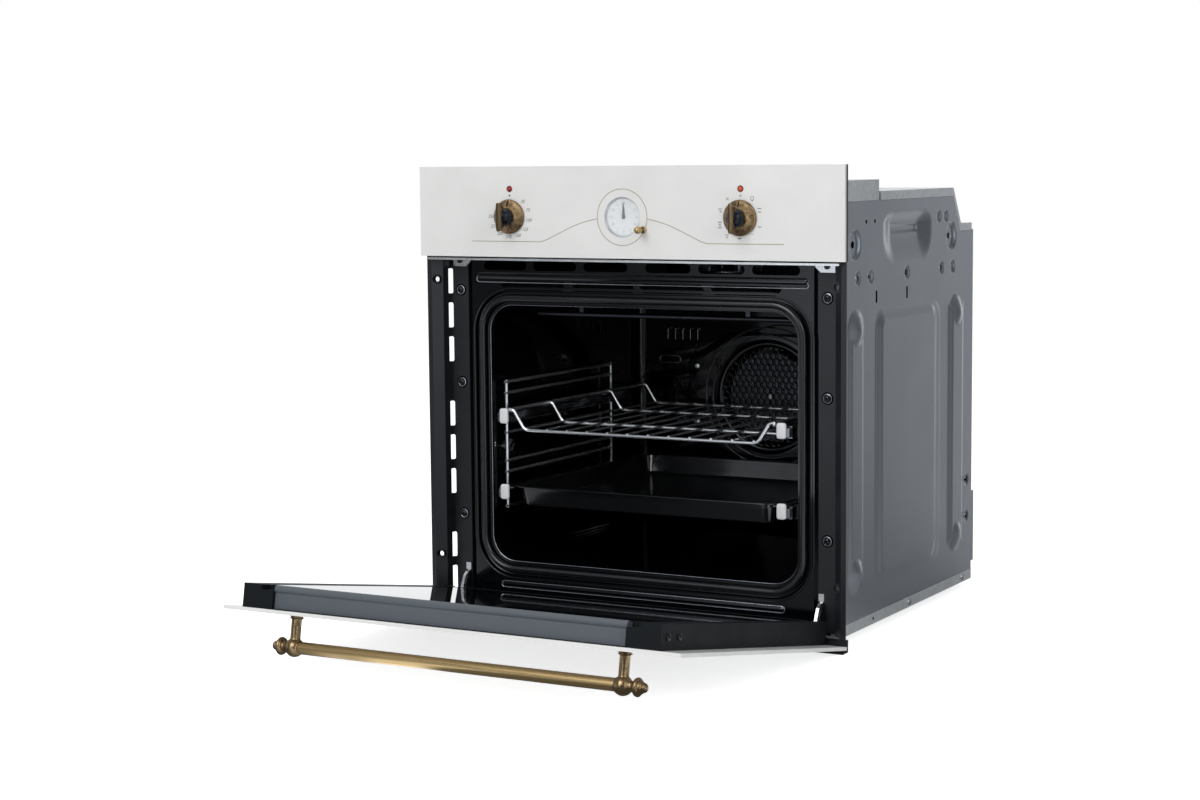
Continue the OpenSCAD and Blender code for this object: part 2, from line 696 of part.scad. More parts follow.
// Slides: an outer channel clipped to the side rack, and a runner with a ledge that carries the shelf
module slide_channel(z) {
    h = slide_h / 2;
    y0 = slide_y + 5.5;
    y1 = slide_y + slide_len;
    difference() {
        box(slide_x - channel_w, slide_x, y0, y1, z - h, z + h);
        box(slide_x - channel_w - cut, slide_x - lip, y0 - cut, y1 + cut, z - h + lip, z + h - lip);
    }
}
module slide_rails() {
    color(galvanised) both() for (z = [upper_z, lower_z]) slide_channel(z);
}
module slide_runner(z) {
    h = slide_h / 2 - lip - gap;
    y0 = slide_y;
    y1 = slide_y + slide_len - 6;
    tab_x = seat_in + 4.9;
    inner = slide_x - channel_w - gap;
    seat_z = z + slide_h / 2 + lip;
    ledge = 1.8;
    union() {
        box(inner, slide_x - lip - gap, y0, y1, z - h, z + h);
        box(inner - ledge, inner + fit, y0, y1, z - h, seat_z);
        box(seat_in, inner, y0, y1, seat_z - ledge, seat_z);
        along_y(y0 - 2, y0 + 0.5) round_rect(tab_x, tab_x + 14, z - 8.2, z + 12.3, 3.2);
    }
}
module upper_slide_runners() { color(bright) both() slide_runner(upper_z); }
module lower_slide_runners() { color(bright) both() slide_runner(lower_z); }

module wire_rack() {
    rest_z = upper_z + slide_h / 2 + lip + rail_r + fit;
    low_z = rest_z - 26;
    x1 = seat_in + 2.4;
    x2 = seat_in - 18;
    back_y = cross_y[3];
    color(bright) union() {
        both() wire([x1, cross_y[0], rest_z], [x1, back_y, rest_z], rail_r);
        for (y = cross_y) {
            both() {
                wire([x1, y, rest_z], [x1 - 5, y, rest_z - 1], rail_r - 0.02);
                wire([x1 - 5, y, rest_z - 1], [x2 + 4, y, low_z + 4], rail_r - 0.02);
                wire([x2 + 4, y, low_z + 4], [x2 - 2, y, low_z], rail_r - 0.02);
            }
            rod_x(rail_r - 0.02, -x2 + 2, x2 - 2, y, low_z);
            both() translate([x2 - 2, y, low_z]) sphere(r = rail_r);
        }
        for (i = [0:wire_n - 1]) {
            x = (i - (wire_n - 1) / 2) * wire_pitch;
            rod_y(wire_r, x, cross_y[0] - 1.6, back_y + 2, low_z + rail_r);
        }
    }
}

// Enamelled tray: sloping walls, a flat floor and a rim that rests on the runners
module tray_solid(grow, z0, z1) {
    top = seat_in - 2.5;
    y0 = cross_y[0] + 5;
    slope = 11;
    hull() {
        for (x = [-1, 1], y = [y0 + 16, shelf_end - 18.5])
            rod_z(14 + grow, x * (top - 14), y, z1 - 0.01, z1, $fn = 32);
        for (x = [-1, 1], y = [y0 + 16, shelf_end - 18.5])
            rod_z(12 + grow - slope / 2, x * (top - 14 - slope / 2), y, z0, z0 + 0.01, $fn = 32);
    }
}
module baking_tray() {
    rim_z = lower_z + slide_h / 2 + lip;
    y0 = cross_y[0] + 2.5;
    color(enamel) difference() {
        union() {
            along_z(rim_z, rim_z + 1.4) round_rect(-seat_in - 6, seat_in + 6, y0, shelf_end + 1, 12);
            tray_solid(1, rim_z - tray_h, rim_z + 0.5);
        }
        tray_solid(0, rim_z - tray_h + 1, rim_z + 3);
    }
}

// Channel that blows cooling air out above the door, with its round fan casing
blower_at = [0, cav_back - 113.2];
module air_duct() {
    low = cav_top + 27;
    high = plate_top - 3;
    w = plate_x - 8;
    t = 1;
    r = 74;
    wide_end = blower_at[1] - 80;
    color(galvanised) difference() {
        union() {
            wide(w, recess_d + sheet, wide_end, low, high);
            wide(r, wide_end - 10, blower_at[1], low, high);
            rod_z(r, blower_at[0], blower_at[1], low, high);
            rod_z(9, blower_at[0], blower_at[1], high - cut, high + 8);
        }
        wide(w - t, recess_d, wide_end - t, low + t, high - t);
        wide(r - t, wide_end - 10, blower_at[1], low + t, high - t);
        rod_z(r - t, blower_at[0], blower_at[1], low + t, high - t);
        for (a = [0:60:300])
            rod_z(8, blower_at[0] + 30 * cos(a), blower_at[1] + 30 * sin(a), high - 3, high + 3);
    }
    color(galvanised) rod_z(shaft_r, blower_at[0], blower_at[1], low + t, high - t);
}
module blower_wheel() {
    low = cav_top + 32;
    h = 20;
    r = 62;
    color(bright) difference() {
        union() {
            rod_z(r, blower_at[0], blower_at[1], low, low + 1.5);
            rod_z(9, blower_at[0], blower_at[1], low, low + 12);
            for (i = [0:19]) translate([blower_at[0], blower_at[1], low]) rotate([0, 0, i * 18])
                translate([r - 14, -0.5, 0]) cube([12, 1, h]);
        }
        rod_z(shaft_r + fit, blower_at[0], blower_at[1], low - cut, low + 20);
    }
}

// Control panel
module control_panel() {
    color(white) difference() {
        wide(fx, face_y, glass_back, panel_z, panel_top);
        both() {
            rod_y(shaft_r + 2, knob_x, face_y - cut, glass_back + cut, knob_z);
            rod_y(lamp_r + fit, knob_x, face_y - cut, glass_back + cut, lamp_z);
        }
        rod_y(clock_r, 0, face_y - cut, glass_back + cut, knob_z);
        rod_y(set_r + 0.1, set_x, face_y - cut, glass_back + cut, set_z);
    }
}
module panel_housing() {
    x = fx - 0.3;
    t = 1.5;
    color(black) difference() {
        wide(x, glass_back, 0, panel_z, panel_top);
        wide(x - 10, glass_back - cut, -t, panel_z + 6, panel_top - 6);
        both() {
            rod_y(shaft_r + 2, knob_x, -5, cut, knob_z);
            rod_y(lamp_r + fit, knob_x, -5, cut, lamp_z);
        }
        rod_y(18, 0, -5, cut, knob_z);
        rod_y(set_r + 0.1, set_x, -5, cut, set_z);
    }
}
module vent_trim() {
    z = panel_z - 3.6;
    t = 1.5;
    back = recess_d - t;
    color(bright) difference() {
        union() {
            box(-lip_x + 6, lip_x - 6, -8, -0.6, z, z + t);
            wide(wall_x - 0.6, -0.7, recess_d, z, z + t);
            box(-lip_x + 6, lip_x - 6, -8, -6.8, z - 1.2, z + t);
            both() along_y(recess_d - sheet, recess_d) polygon([[strip_x - 4, panel_z - 8],
                [strip_x + 3, panel_z - 14.6], [strip_x + 22, panel_z - 14.6], [strip_x + 22, z + t],
                [strip_x - 4, z + t]]);
        }
        both() rod_y(screw_r, frame_screw_x, recess_d - 5, recess_d + 5, panel_z - 7.5);
        both() for (x = [14, 62, 110, 158]) box(x, x + 34, -5, 6, z - 3, z + 3);
    }
}

module pilot_lamp(x) {
    rod_y(lamp_r, x, face_y + 0.5, 14, lamp_z);
    translate([x, face_y + 0.5, lamp_z]) sphere(r = lamp_r);
}
module red_lamp() { color([0.7, 0.1, 0.15]) pilot_lamp(-knob_x); }
module orange_lamp() { color([0.95, 0.4, 0.1]) pilot_lamp(knob_x); }

module clock_dial() {
    color(white) difference() {
        rod_y(clock_r + 4, 0, glass_back, glass_back + 1, knob_z);
        rod_y(2.1, 0, glass_back - cut, glass_back + 2, knob_z);
    }
}
module clock_bezel() {
    color(galvanised) turned_y(0, glass_back, knob_z)
        polygon([[clock_r - 1.8, 0], [clock_r - 0.1, 0], [clock_r - 0.1, glass_t - 0.3], [clock_r - 1.8, 0.8]]);
}
module clock_glass() {
    color([0.8, 0.9, 0.95, 0.4]) rod_y(clock_r - 0.8, 0, face_y + 0.4, face_y + 1.3, knob_z);
}
module clock_movement() {
    color("dimgray") difference() {
        union() {
            box(-28, 36, 0, 26, knob_z - 28, knob_z + 28);
            rod_y(17.5, 0, glass_back + 1, 0.5, knob_z);
            rod_y(2, 0, glass_back - 0.3, glass_back + 2, knob_z);
        }
        rod_y(1.55, 0, glass_back - 2, 10, knob_z);
        rod_y(set_r + fit, set_x, -cut, 10, set_z);
    }
}
module hour_hand() {
    y = glass_back - 0.9;
    color("dimgray") difference() {
        union() {
            rod_y(2.3, 0, y, y + 0.5, knob_z);
            rod_y(1.5, 0, y, glass_back + 8, knob_z);
            along_y(y, y + 0.5)
                polygon([[-2.2, knob_z], [2.2, knob_z], [0.7, knob_z + 13], [-0.7, knob_z + 13]]);
        }
        rod_y(0.95, 0, y - cut, glass_back + 9, knob_z);
    }
}
module minute_hand() {
    y = glass_back - 1.7;
    color("dimgray") union() {
        rod_y(1.8, 0, y, y + 0.5, knob_z);
        rod_y(0.9, 0, y, glass_back + 10, knob_z);
        along_y(y, y + 0.5)
            polygon([[-1.6, knob_z], [1.6, knob_z], [0.4, knob_z + 18], [-0.4, knob_z + 18]]);
    }
}
module clock_set_knob() {
    color(bronze) union() {
        rod_y(set_r, set_x, face_y - 2, 8, set_z);
        turned_y(set_x, face_y - 0.5, set_z)
            polygon([[0, 0], [4.4, 0], [4.4, 3], [3.4, 4], [3.4, 9], [4.4, 11], [4.6, 17], [3.2, 20],
                [0, 20.5]]);
    }
}

module switch_body(x, w, d) {
    color("dimgray") union() {
        box(x - w / 2, x + w / 2, 0, d, knob_z - 20, knob_z + 24);
        rod_y(shaft_r, x, face_y - 9, 1, knob_z);
    }
}
module thermostat() { switch_body(-knob_x, 46, 30); }
module function_switch() { switch_body(knob_x, 38, 52); }

// Knobs: a turned disc with an upright grip that crosses a dark dome
module knob(x) {
    half = fin_w / 2;
    dome_y = 15;
    color(bronze) difference() {
        union() {
            turned_y(x, face_y - 0.6, knob_z)
                polygon([[0, 0], [knob_r - 0.8, 0], [knob_r, 1], [knob_r, 3], [knob_r - 1.5, 4.6],
                    [dome_r + 1.5, 9.4], [dome_r + 0.6, 9.4], [0, 9.4]]);
            translate([x, 0, knob_z]) along_x(-half, half) polygon([[face_y - 5, -13], [face_y - 17, -12.5],
                [face_y - grip_out + 3, -18], [face_y - grip_out + 0.6, -17.6], [face_y - grip_out, -15],
                [face_y - grip_out, 15], [face_y - grip_out + 0.6, 17.6], [face_y - grip_out + 3, 18],
                [face_y - 17, 12.5], [face_y - 5, 13]]);
        }
        rod_y(shaft_r + fit, x, face_y - 9.2, face_y + cut, knob_z);
    }
}
module knob_cap(x) {
    half = fin_w / 2;
    dome_out = 15;
    seat = face_y - 10.05;
    color(black) difference() {
        translate([x, face_y - dome_out, knob_z]) sphere(r = dome_r);
        box(x - half - fit, x + half + fit, face_y - 40, 0, knob_z - 20, knob_z + 20);
        box(x - 30, x + 30, seat, 5, knob_z - 30, knob_z + 30);
    }
}
module temperature_knob() { knob(-knob_x); }
module function_knob() { knob(knob_x); }
module temperature_knob_cap() { knob_cap(-knob_x); }
module function_knob_cap() { knob_cap(knob_x); }

// Door, drawn closed and then opened about its hinge axis
module door_outer_glass() {
    color(white) on_open_door() difference() {
        along_y(face_y, glass_back) round_rect(-fx, fx, door_low, door_top, 2);
        both() rod_y(3, handle_x, face_y - cut, glass_back + cut, handle_z);
    }
}
module door_frame() {
    slot_half = 6.2;
    win_x = fr_x - frame_bar;
    win_low = frame_low + 25;
    win_top = frame_top - 39;
    color(black) on_open_door() difference() {
        wide(fr_x, glass_back, door_back, frame_low, frame_top);
        wide(win_x, glass_back - cut, door_back + cut, win_low, win_top);
        wide(inner_x + 0.5, door_back - inner_glass_t - gap, door_back + cut, frame_low + 6, profile_low - 1.5);
        wide(profile_x + 0.3, glass_back + 0.8, door_back + cut, profile_low, frame_top + cut);
        both() {
            box(hinge_x - slot_half, hinge_x + slot_half, -1, door_back + cut, frame_low - cut, frame_low + 51);
            // corner notch beside the profile and the handle screw
            box(profile_x, profile_x + 17, door_back - 6, door_back + cut, frame_top - 14, frame_top + cut);
            rod_y(3, handle_x, glass_back - cut, glass_back + 9, handle_z);
            rod_x(screw_r, fr_x - 5, fr_x + cut, 8.1, frame_top - 16);
            rod_x(screw_r, fr_x - 5, fr_x + cut, 8.3, frame_top - 42);
        }
    }
}
module door_top_profile() {
    ridge_r = 4.6;
    y0 = glass_back + 1;
    y1 = door_back - 7.6;
    top = frame_top - 4.5;
    color([0.4, 0.42, 0.44]) on_open_door() union() {
        wide(profile_x, y0, y1, profile_low, top);
        wide(profile_x, y1 - cut, door_back - 1.5, profile_low, top - 2.4);
        rod_x(ridge_r, -profile_x, profile_x, door_back - 4.2, top - 2.2);
    }
}
module door_inner_glass() {
    color([0.1, 0.1, 0.12, 0.8]) on_open_door()
        wide(inner_x, door_back - inner_glass_t - 0.3, door_back - 0.3, frame_low + 6.5, profile_low - 2);
}
module door_screws() {
    color(black) on_open_door() both() for (p = [[8.1, frame_top - 16], [8.3, frame_top - 42]]) {
        rod_x(4, fr_x, fr_x + 1.4, p[0], p[1]);
        rod_x(screw_r - fit, fr_x - 4.5, fr_x + fit, p[0], p[1]);
    }
}
module handle_bar() {
    color(bronze) on_open_door() rod_x(bar_r, -handle_x + 4, handle_x - 4, bar_y, handle_z);
}
module handle_posts() {
    end = handle_x - 3.8;
    color(bronze) on_open_door() both() difference() {
        union() {
            turned_y(handle_x, face_y, handle_z)
                polygon([[0, -8], [2.9, -8], [2.9, 0], [8.6, 0], [8.9, 1.2], [8.2, 2.4], [7.2, 3], [8.2, 4],
                    [7, 5.2], [5.9, 6], [5.9, handle_out - 8], [0, handle_out - 4]]);
            translate([handle_x, bar_y, handle_z]) {
                sphere(r = ball_r);
                rotate([0, 90, 0]) rotate_extrude()
                    polygon([[0, 0], [6.6, 0], [6.3, 14], [8.2, 15.5], [10.4, 17.5], [10.4, 19.5], [8, 21.5],
                        [6.6, 23.5], [6.6, 25], [4.6, 28], [0, 29.5]]);
            }
        }
        rod_x(bar_r + fit, 0, end, bar_y, handle_z);
    }
}

// Hinges: an arm hooked into the frame, and a channel in the door that turns on its pin
module hinge_arms() {
    w = 2;
    ring = 5.4;
    color(bright) both() difference() {
        union() {
            rod_x(ring, hinge_x - w, hinge_x + w, hinge_y, hinge_z);
            along_x(hinge_x - w, hinge_x + w) polygon([[hinge_y - 4.6, hinge_z + 2.6], [9, 30], [13, 38],
                [20, 42.5], [recess_d + 5.7, 43.5], [recess_d + 5.7, 36], [recess_d - 0.5, 36], [18, 32],
                [13.5, 24], [hinge_y + 4.6, hinge_z + 2.6], [hinge_y, hinge_z]]);
            box(hinge_x - w, hinge_x + w, recess_d - 1.6, recess_d - 0.2, 42, 53);
            box(hinge_x - 3.6, hinge_x + 3.6, recess_d - 2.4, recess_d - 0.6, 44.5, 53.5);
        }
        rod_x(pin_r + fit, hinge_x - 5, hinge_x + 5, hinge_y, hinge_z);
    }
}
module hinge_bodies() {
    half = 5;
    t = 1.4;
    top = frame_low + 46;
    color(bright) on_open_door() both() union() {
        for (x = [hinge_x - half, hinge_x + half - t]) {
            rod_x(5.2, x, x + t, hinge_y, hinge_z);
            along_x(x, x + t) polygon([[hinge_y - 5.1, hinge_z], [-0.9, frame_low + 4], [-0.9, top],
                [12, top], [12, frame_low + 4], [hinge_y + 5.1, hinge_z]]);
        }
        box(hinge_x - half, hinge_x + half, -0.9, 0.5, frame_low + 4, top);
        rod_x(pin_r, hinge_x - half + 0.2, hinge_x + half - 0.2, hinge_y, hinge_z);
    }
}

base_plate();
bottom_trim();
left_front_post();
right_front_post();
casing_screws();
front_plate();
door_gasket();
cavity_liner();
left_side_panel();
right_side_panel();
top_cover();
control_box_cover();
back_panel();
rear_cover();
control_panel();
panel_housing();
vent_trim();
red_lamp();
orange_lamp();
clock_dial();
clock_bezel();
clock_glass();
clock_movement();
thermostat();
function_switch();
insulation();
grill_element();
bottom_element();
ring_element();
fan_baffle();
fan_motor();
fan_blade();
lamp_glass();
lamp_socket();
left_side_rack();
right_side_rack();
slide_rails();
upper_slide_runners();
lower_slide_runners();
air_duct();
blower_wheel();
terminal_block();
hinge_arms();
hinge_bodies();
door_outer_glass();
door_frame();
door_top_profile();
door_inner_glass();
handle_bar();
handle_posts();
door_screws();
temperature_knob();
temperature_knob_cap();
function_knob();
function_knob_cap();
hour_hand();
minute_hand();
clock_set_knob();
wire_rack();
baking_tray();
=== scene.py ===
"""Built-in electric oven with its door open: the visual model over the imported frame.

Lengths in this file are millimetres in the frame's axes (+X right, +Y back, +Z up) unless a
name says otherwise. Each new piece is a surface computed with numpy and rides on a CAD body.
"""

from __future__ import annotations

import json
import logging
import math
from dataclasses import dataclass
from enum import Enum

import bmesh
import bpy
import numpy as np
from mathutils import Matrix, Vector

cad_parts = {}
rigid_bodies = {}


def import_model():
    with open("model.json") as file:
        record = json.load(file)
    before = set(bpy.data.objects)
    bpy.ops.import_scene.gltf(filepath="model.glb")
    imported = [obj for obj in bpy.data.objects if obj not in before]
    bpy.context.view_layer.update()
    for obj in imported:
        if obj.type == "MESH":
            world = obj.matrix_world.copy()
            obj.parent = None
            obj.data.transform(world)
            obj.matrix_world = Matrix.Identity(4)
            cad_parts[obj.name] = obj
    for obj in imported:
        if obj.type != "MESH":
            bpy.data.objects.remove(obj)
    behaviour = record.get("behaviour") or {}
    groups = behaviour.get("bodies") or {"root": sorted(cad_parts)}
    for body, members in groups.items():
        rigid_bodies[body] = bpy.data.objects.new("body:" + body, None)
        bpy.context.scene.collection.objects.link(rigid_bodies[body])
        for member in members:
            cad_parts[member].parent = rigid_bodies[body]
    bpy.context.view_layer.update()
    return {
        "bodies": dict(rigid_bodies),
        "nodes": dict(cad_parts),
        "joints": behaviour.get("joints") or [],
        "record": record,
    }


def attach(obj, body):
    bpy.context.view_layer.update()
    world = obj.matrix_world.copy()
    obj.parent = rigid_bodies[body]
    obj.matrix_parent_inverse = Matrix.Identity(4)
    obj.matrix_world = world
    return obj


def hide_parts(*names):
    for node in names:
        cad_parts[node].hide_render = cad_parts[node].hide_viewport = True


LOG = logging.getLogger("oven")
MM = 0.001
Array = np.ndarray
Node, Socket, Tree = bpy.types.Node, bpy.types.NodeSocket, bpy.types.NodeTree
Point = tuple[float, float, float]
Colour = tuple[float, float, float]

HINGE_Y, HINGE_Z = 4.5, 6.5
OPEN_ANGLE = math.radians(80)
PANEL_Y = -10.3
KNOB_X, KNOB_Z = 162.0, 510.2
PRINT_DEEP = 0.1


class Body(str, Enum):
    """The CAD bodies that pieces ride on."""

    OVEN = "oven"
    DOOR = "door"
    TEMPERATURE_KNOB = "temperature_knob"
    FUNCTION_KNOB = "function_knob"
    SET_KNOB = "clock_set_knob"
    UPPER_SHELF = "upper_shelf"
    LOWER_SHELF = "lower_shelf"


class Axis(Enum):
    """The direction that a turned piece's axis points in."""

    X = 0
    MINUS_X = 1
    MINUS_Y = 2
    Z = 3


# Shapes: whole-array surfaces


def grid_quads(rows: int, cols: int, wrap_rows: bool = False, wrap_cols: bool = False) -> Array:
    """Quads that join a grid of points, numbered row by row.

    Args:
        rows: Number of rows of points.
        cols: Number of points in a row.
        wrap_rows: Join the last row to the first.
        wrap_cols: Join each row's last point to its first.

    Returns:
        Array of shape (n, 4) with vertex numbers.
    """
    r = np.arange(rows if wrap_rows else rows - 1)
    c = np.arange(cols if wrap_cols else cols - 1)
    r, c = np.meshgrid(r, c, indexing="ij")
    r2, c2 = (r + 1) % rows, (c + 1) % cols
    return np.stack([r * cols + c, r * cols + c2, r2 * cols + c2, r2 * cols + c], -1).reshape(-1, 4)


def unit(vectors: Array) -> Array:
    """Each row scaled to length 1."""
    return vectors / np.linalg.norm(vectors, axis=1)[:, None]


def circle(points: int) -> tuple[Array, Array]:
    """Cosine and sine of evenly spaced angles round a full turn."""
    t = np.linspace(0, 2 * np.pi, points, endpoint=False)
    return np.cos(t), np.sin(t)


@dataclass
class Sheet:
    """A mesh being made: points in millimetres and the quads that join them."""

    points: Array
    quads: Array

    @staticmethod
    def joined(parts: list["Sheet"]) -> "Sheet":
        """One sheet that holds all the parts.

        Args:
            parts: The sheets to join, in order.

        Returns:
            The joined sheet, with the quads renumbered.
        """
        sizes = np.cumsum([0] + [len(p.points) for p in parts[:-1]])
        return Sheet(
            np.concatenate([p.points for p in parts]),
            np.concatenate([p.quads + n for p, n in zip(parts, sizes)]),
        )

    def flipped(self) -> "Sheet":
        """The same sheet facing the other way."""
        return Sheet(self.points, self.quads[:, ::-1])

    def mirror(self) -> "Sheet":
        """The sheet reflected in X = 0, still facing outwards."""
        return Sheet(self.points * [-1, 1, 1], self.quads[:, ::-1])

    def pair(self) -> "Sheet":
        """The sheet together with its reflection."""
        return Sheet.joined([self, self.mirror()])

    def door(self) -> "Sheet":
        """The sheet turned about the hinge axis, from the closed to the open door."""
        hinge = self.moved(y=-HINGE_Y, z=-HINGE_Z).rolled(OPEN_ANGLE)
        return hinge.moved(y=HINGE_Y, z=HINGE_Z)

    def rolled(self, angle: float) -> "Sheet":
        """The sheet turned about the X axis.

        The new Y is y cos - z sin, and the new Z is y sin + z cos.

        Args:
            angle: The angle in radians.

        Returns:
            The turned sheet.
        """
        c, s = math.cos(angle), math.sin(angle)
        x, y, z = self.points.T
        return Sheet(np.stack([x, y * c - z * s, y * s + z * c], -1), self.quads)

    def moved(self, x: float = 0, y: float = 0, z: float = 0) -> "Sheet":
        """The sheet shifted."""
        return Sheet(self.points + [x, y, z], self.quads)


def lathe(profile: list[tuple[float, float]], centre: Point, axis: Axis, sides: int = 48,
          smooth: int = 1) -> Sheet:
    """A turned surface: profile point (r, a) goes round the axis as r(cos t, sin t) at height a.

    Args:
        profile: Radius and height pairs, from one end of the axis to the other.
        centre: Where height 0 of the axis lies.
        axis: Direction in which height grows.
        sides: Points round the turn.
        smooth: Number of points put in between two profile points along a curve through them.

    Returns:
        The turned sheet, closed where the profile meets the axis.
    """
    line = np.array(profile, float)
    if smooth > 1:
        line = curve_through(line, smooth)
    c, s = circle(sides)
    r, a = np.maximum(line[:, :1], 0), line[:, 1:]
    u, v, w = r * c, r * s, a + 0 * c
    order = {
        Axis.Z: (u, v, w), Axis.X: (w, u, v), Axis.MINUS_X: (-w, -u, v), Axis.MINUS_Y: (u, -w, v),
    }[axis]
    return Sheet(np.stack(order, -1).reshape(-1, 3) + centre, grid_quads(len(line), sides, wrap_cols=True))


def spot(r: float, deep: float, centre: Point, axis: Axis) -> Sheet:
    """A round flat spot that rises from its centre along the axis."""
    return lathe([(0, 0), (r, 0), (r, deep), (0, deep)], centre, axis, 24)


def curve_through(points: Array, steps: int) -> Array:
    """A smooth curve through points, by the Catmull-Rom cubic between each pair.

    Args:
        points: Points of shape (n, d).
        steps: Points for each stretch between two given points.

    Returns:
        The curve's points.
    """
    p = np.asarray(points, float)
    p = np.concatenate([2 * p[:1] - p[1:2], p, 2 * p[-1:] - p[-2:-1]])
    t = np.linspace(0, 1, steps, endpoint=False)[None, :, None]
    a, b, c, d = (p[i : len(p) - 3 + i, None, :] for i in range(4))
    square, cube = 2 * a - 5 * b + 4 * c - d, 3 * b - a - 3 * c + d
    body = 0.5 * (2 * b + (c - a) * t + square * t**2 + cube * t**3)
    return np.concatenate([body.reshape(-1, p.shape[1]), p[-2:-1]])


def rounded_path(corners: list[tuple[float, ...]], radius: float, steps: int = 6) -> Array:
    """A path of straight stretches whose inner corners are replaced by arcs.

    Each corner's arc is the quadratic curve between the two points that lie `radius` before
    and after it.

    Args:
        corners: The path's corners.
        radius: Distance from a corner at which its arc starts.
        steps: Points in each arc.

    Returns:
        Points along the path.
    """
    c = np.array(corners, float)
    back, fore = c[:-2] - c[1:-1], c[2:] - c[1:-1]
    reach = np.minimum(radius, 0.49 * np.minimum(np.linalg.norm(back, axis=1), np.linalg.norm(fore, axis=1)))
    a, b = (c[1:-1] + unit(leg) * reach[:, None] for leg in (back, fore))
    t = np.linspace(0, 1, steps)[None, :, None]
    arcs = (1 - t) ** 2 * a[:, None] + 2 * t * (1 - t) * c[1:-1][:, None] + t**2 * b[:, None]
    return np.concatenate([c[:1], arcs.reshape(-1, c.shape[1]), c[-1:]])


def tube(path: Array, radius: float, flat: Point, sides: int = 12, closed: bool = False) -> Sheet:
    """A round wire along a path that lies in one plane.

    The ring at each point is radius * (cos t * side + sin t * flat), where side is the cross
    product of the path's direction and the plane's normal.

    Args:
        path: Points of shape (n, 3).
        radius: The wire's radius.
        flat: Normal of the plane that holds the path.
        sides: Points in a ring.
        closed: Join the end to the start.

    Returns:
        The wire, with a flat closing fan at each free end.
    """
    p = np.asarray(path, float)
    ahead = np.roll(p, -1, 0) - p if closed else np.diff(p, axis=0, append=2 * p[-1:] - p[-2:-1])
    behind = np.roll(ahead, 1, 0) if closed else np.concatenate([ahead[:1], ahead[:-1]])
    go = unit(unit(ahead) + unit(behind))
    up = np.array(flat, float) / np.linalg.norm(flat)
    side = unit(np.cross(go, up))
    stretch = 1 / np.maximum(0.6, (go * unit(ahead)).sum(1))[:, None]
    c, s = circle(sides)
    ring = side[:, None] * c[None, :, None] * stretch[:, None] + up * s[None, :, None]
    points = p[:, None] + radius * ring
    if not closed:
        points = np.concatenate([p[:1, None] + 0 * points[:1], points, p[-1:, None] + 0 * points[-1:]])
    return Sheet(points.reshape(-1, 3), grid_quads(len(points), sides, closed, True))


def loop(half_x: float, z0: float, z1: float, r: float, steps: int = 10) -> tuple[Array, Array]:
    """A rectangle with round corners in the XZ plane, and its outward normals.

    Args:
        half_x: Half width.
        z0: Lower edge.
        z1: Upper edge.
        r: Corner radius.
        steps: Points in each corner.

    Returns:
        Points (n, 2) and normals (n, 2), counter-clockwise seen from the front.
    """
    t = np.linspace(0, np.pi / 2, steps)
    turn = np.concatenate([t + k * np.pi / 2 for k in range(4)])
    normal = np.stack([np.cos(turn), np.sin(turn)], -1)
    cx = np.repeat([half_x - r, r - half_x, r - half_x, half_x - r], steps)
    cz = np.repeat([z1 - r, z1 - r, z0 + r, z0 + r], steps)
    return np.stack([cx, cz], -1) + r * normal, normal


def frame_sweep(half_x: float, z0: float, z1: float, r: float, profile: Array, steps: int = 10) -> Sheet:
    """A profile carried round a rounded rectangle: point (d, y) lies d outside the loop at depth y.

    Args:
        half_x: Half width of the loop.
        z0: Its lower edge.
        z1: Its upper edge.
        r: Its corner radius.
        profile: Points (distance outside the loop, y).
        steps: Points in each corner.

    Returns:
        The swept ring.
    """
    base, normal = loop(half_x, z0, z1, r, steps)
    prof = np.asarray(profile, float)
    xz = base[:, None] + normal[:, None] * prof[None, :, :1]
    y = np.broadcast_to(prof[None, :, 1], xz.shape[:2])
    points = np.stack([xz[..., 0], y, xz[..., 1]], -1)
    return Sheet(points.reshape(-1, 3), grid_quads(len(base), len(prof), wrap_rows=True))


def block(x0: float, x1: float, y0: float, y1: float, z0: float, z1: float, round_by: float = 0.4) -> Sheet:
    """A box whose twelve edges are cut back, as a lofted stack of eight-sided rings.

    Args:
        x0: Lowest X.
        x1: Highest X.
        y0: Lowest Y.
        y1: Highest Y.
        z0: Lowest Z.
        z1: Highest Z.
        round_by: Size of the cut edge.

    Returns:
        The closed box.
    """
    b = round_by
    inset = np.array([b, 0, 0, b])
    z = np.array([z0, z0 + b, z1 - b, z1])

    def ring(i: float) -> Array:
        """The eight-sided outline, inset by i from the flat sides."""
        return np.array([[x0 + b, y0 + i], [x1 - b, y0 + i], [x1 - i, y0 + b], [x1 - i, y1 - b],
                         [x1 - b, y1 - i], [x0 + b, y1 - i], [x0 + i, y1 - b], [x0 + i, y0 + b]])

    rows = [np.column_stack([ring(i), np.full(8, h)]) for i, h in zip(inset, z)]
    mid = [np.tile([[(x0 + x1) / 2, (y0 + y1) / 2, h]], (8, 1)) for h in (z0, z1)]
    return Sheet(np.concatenate([mid[0], *rows, mid[1]]), grid_quads(6, 8, wrap_cols=True))


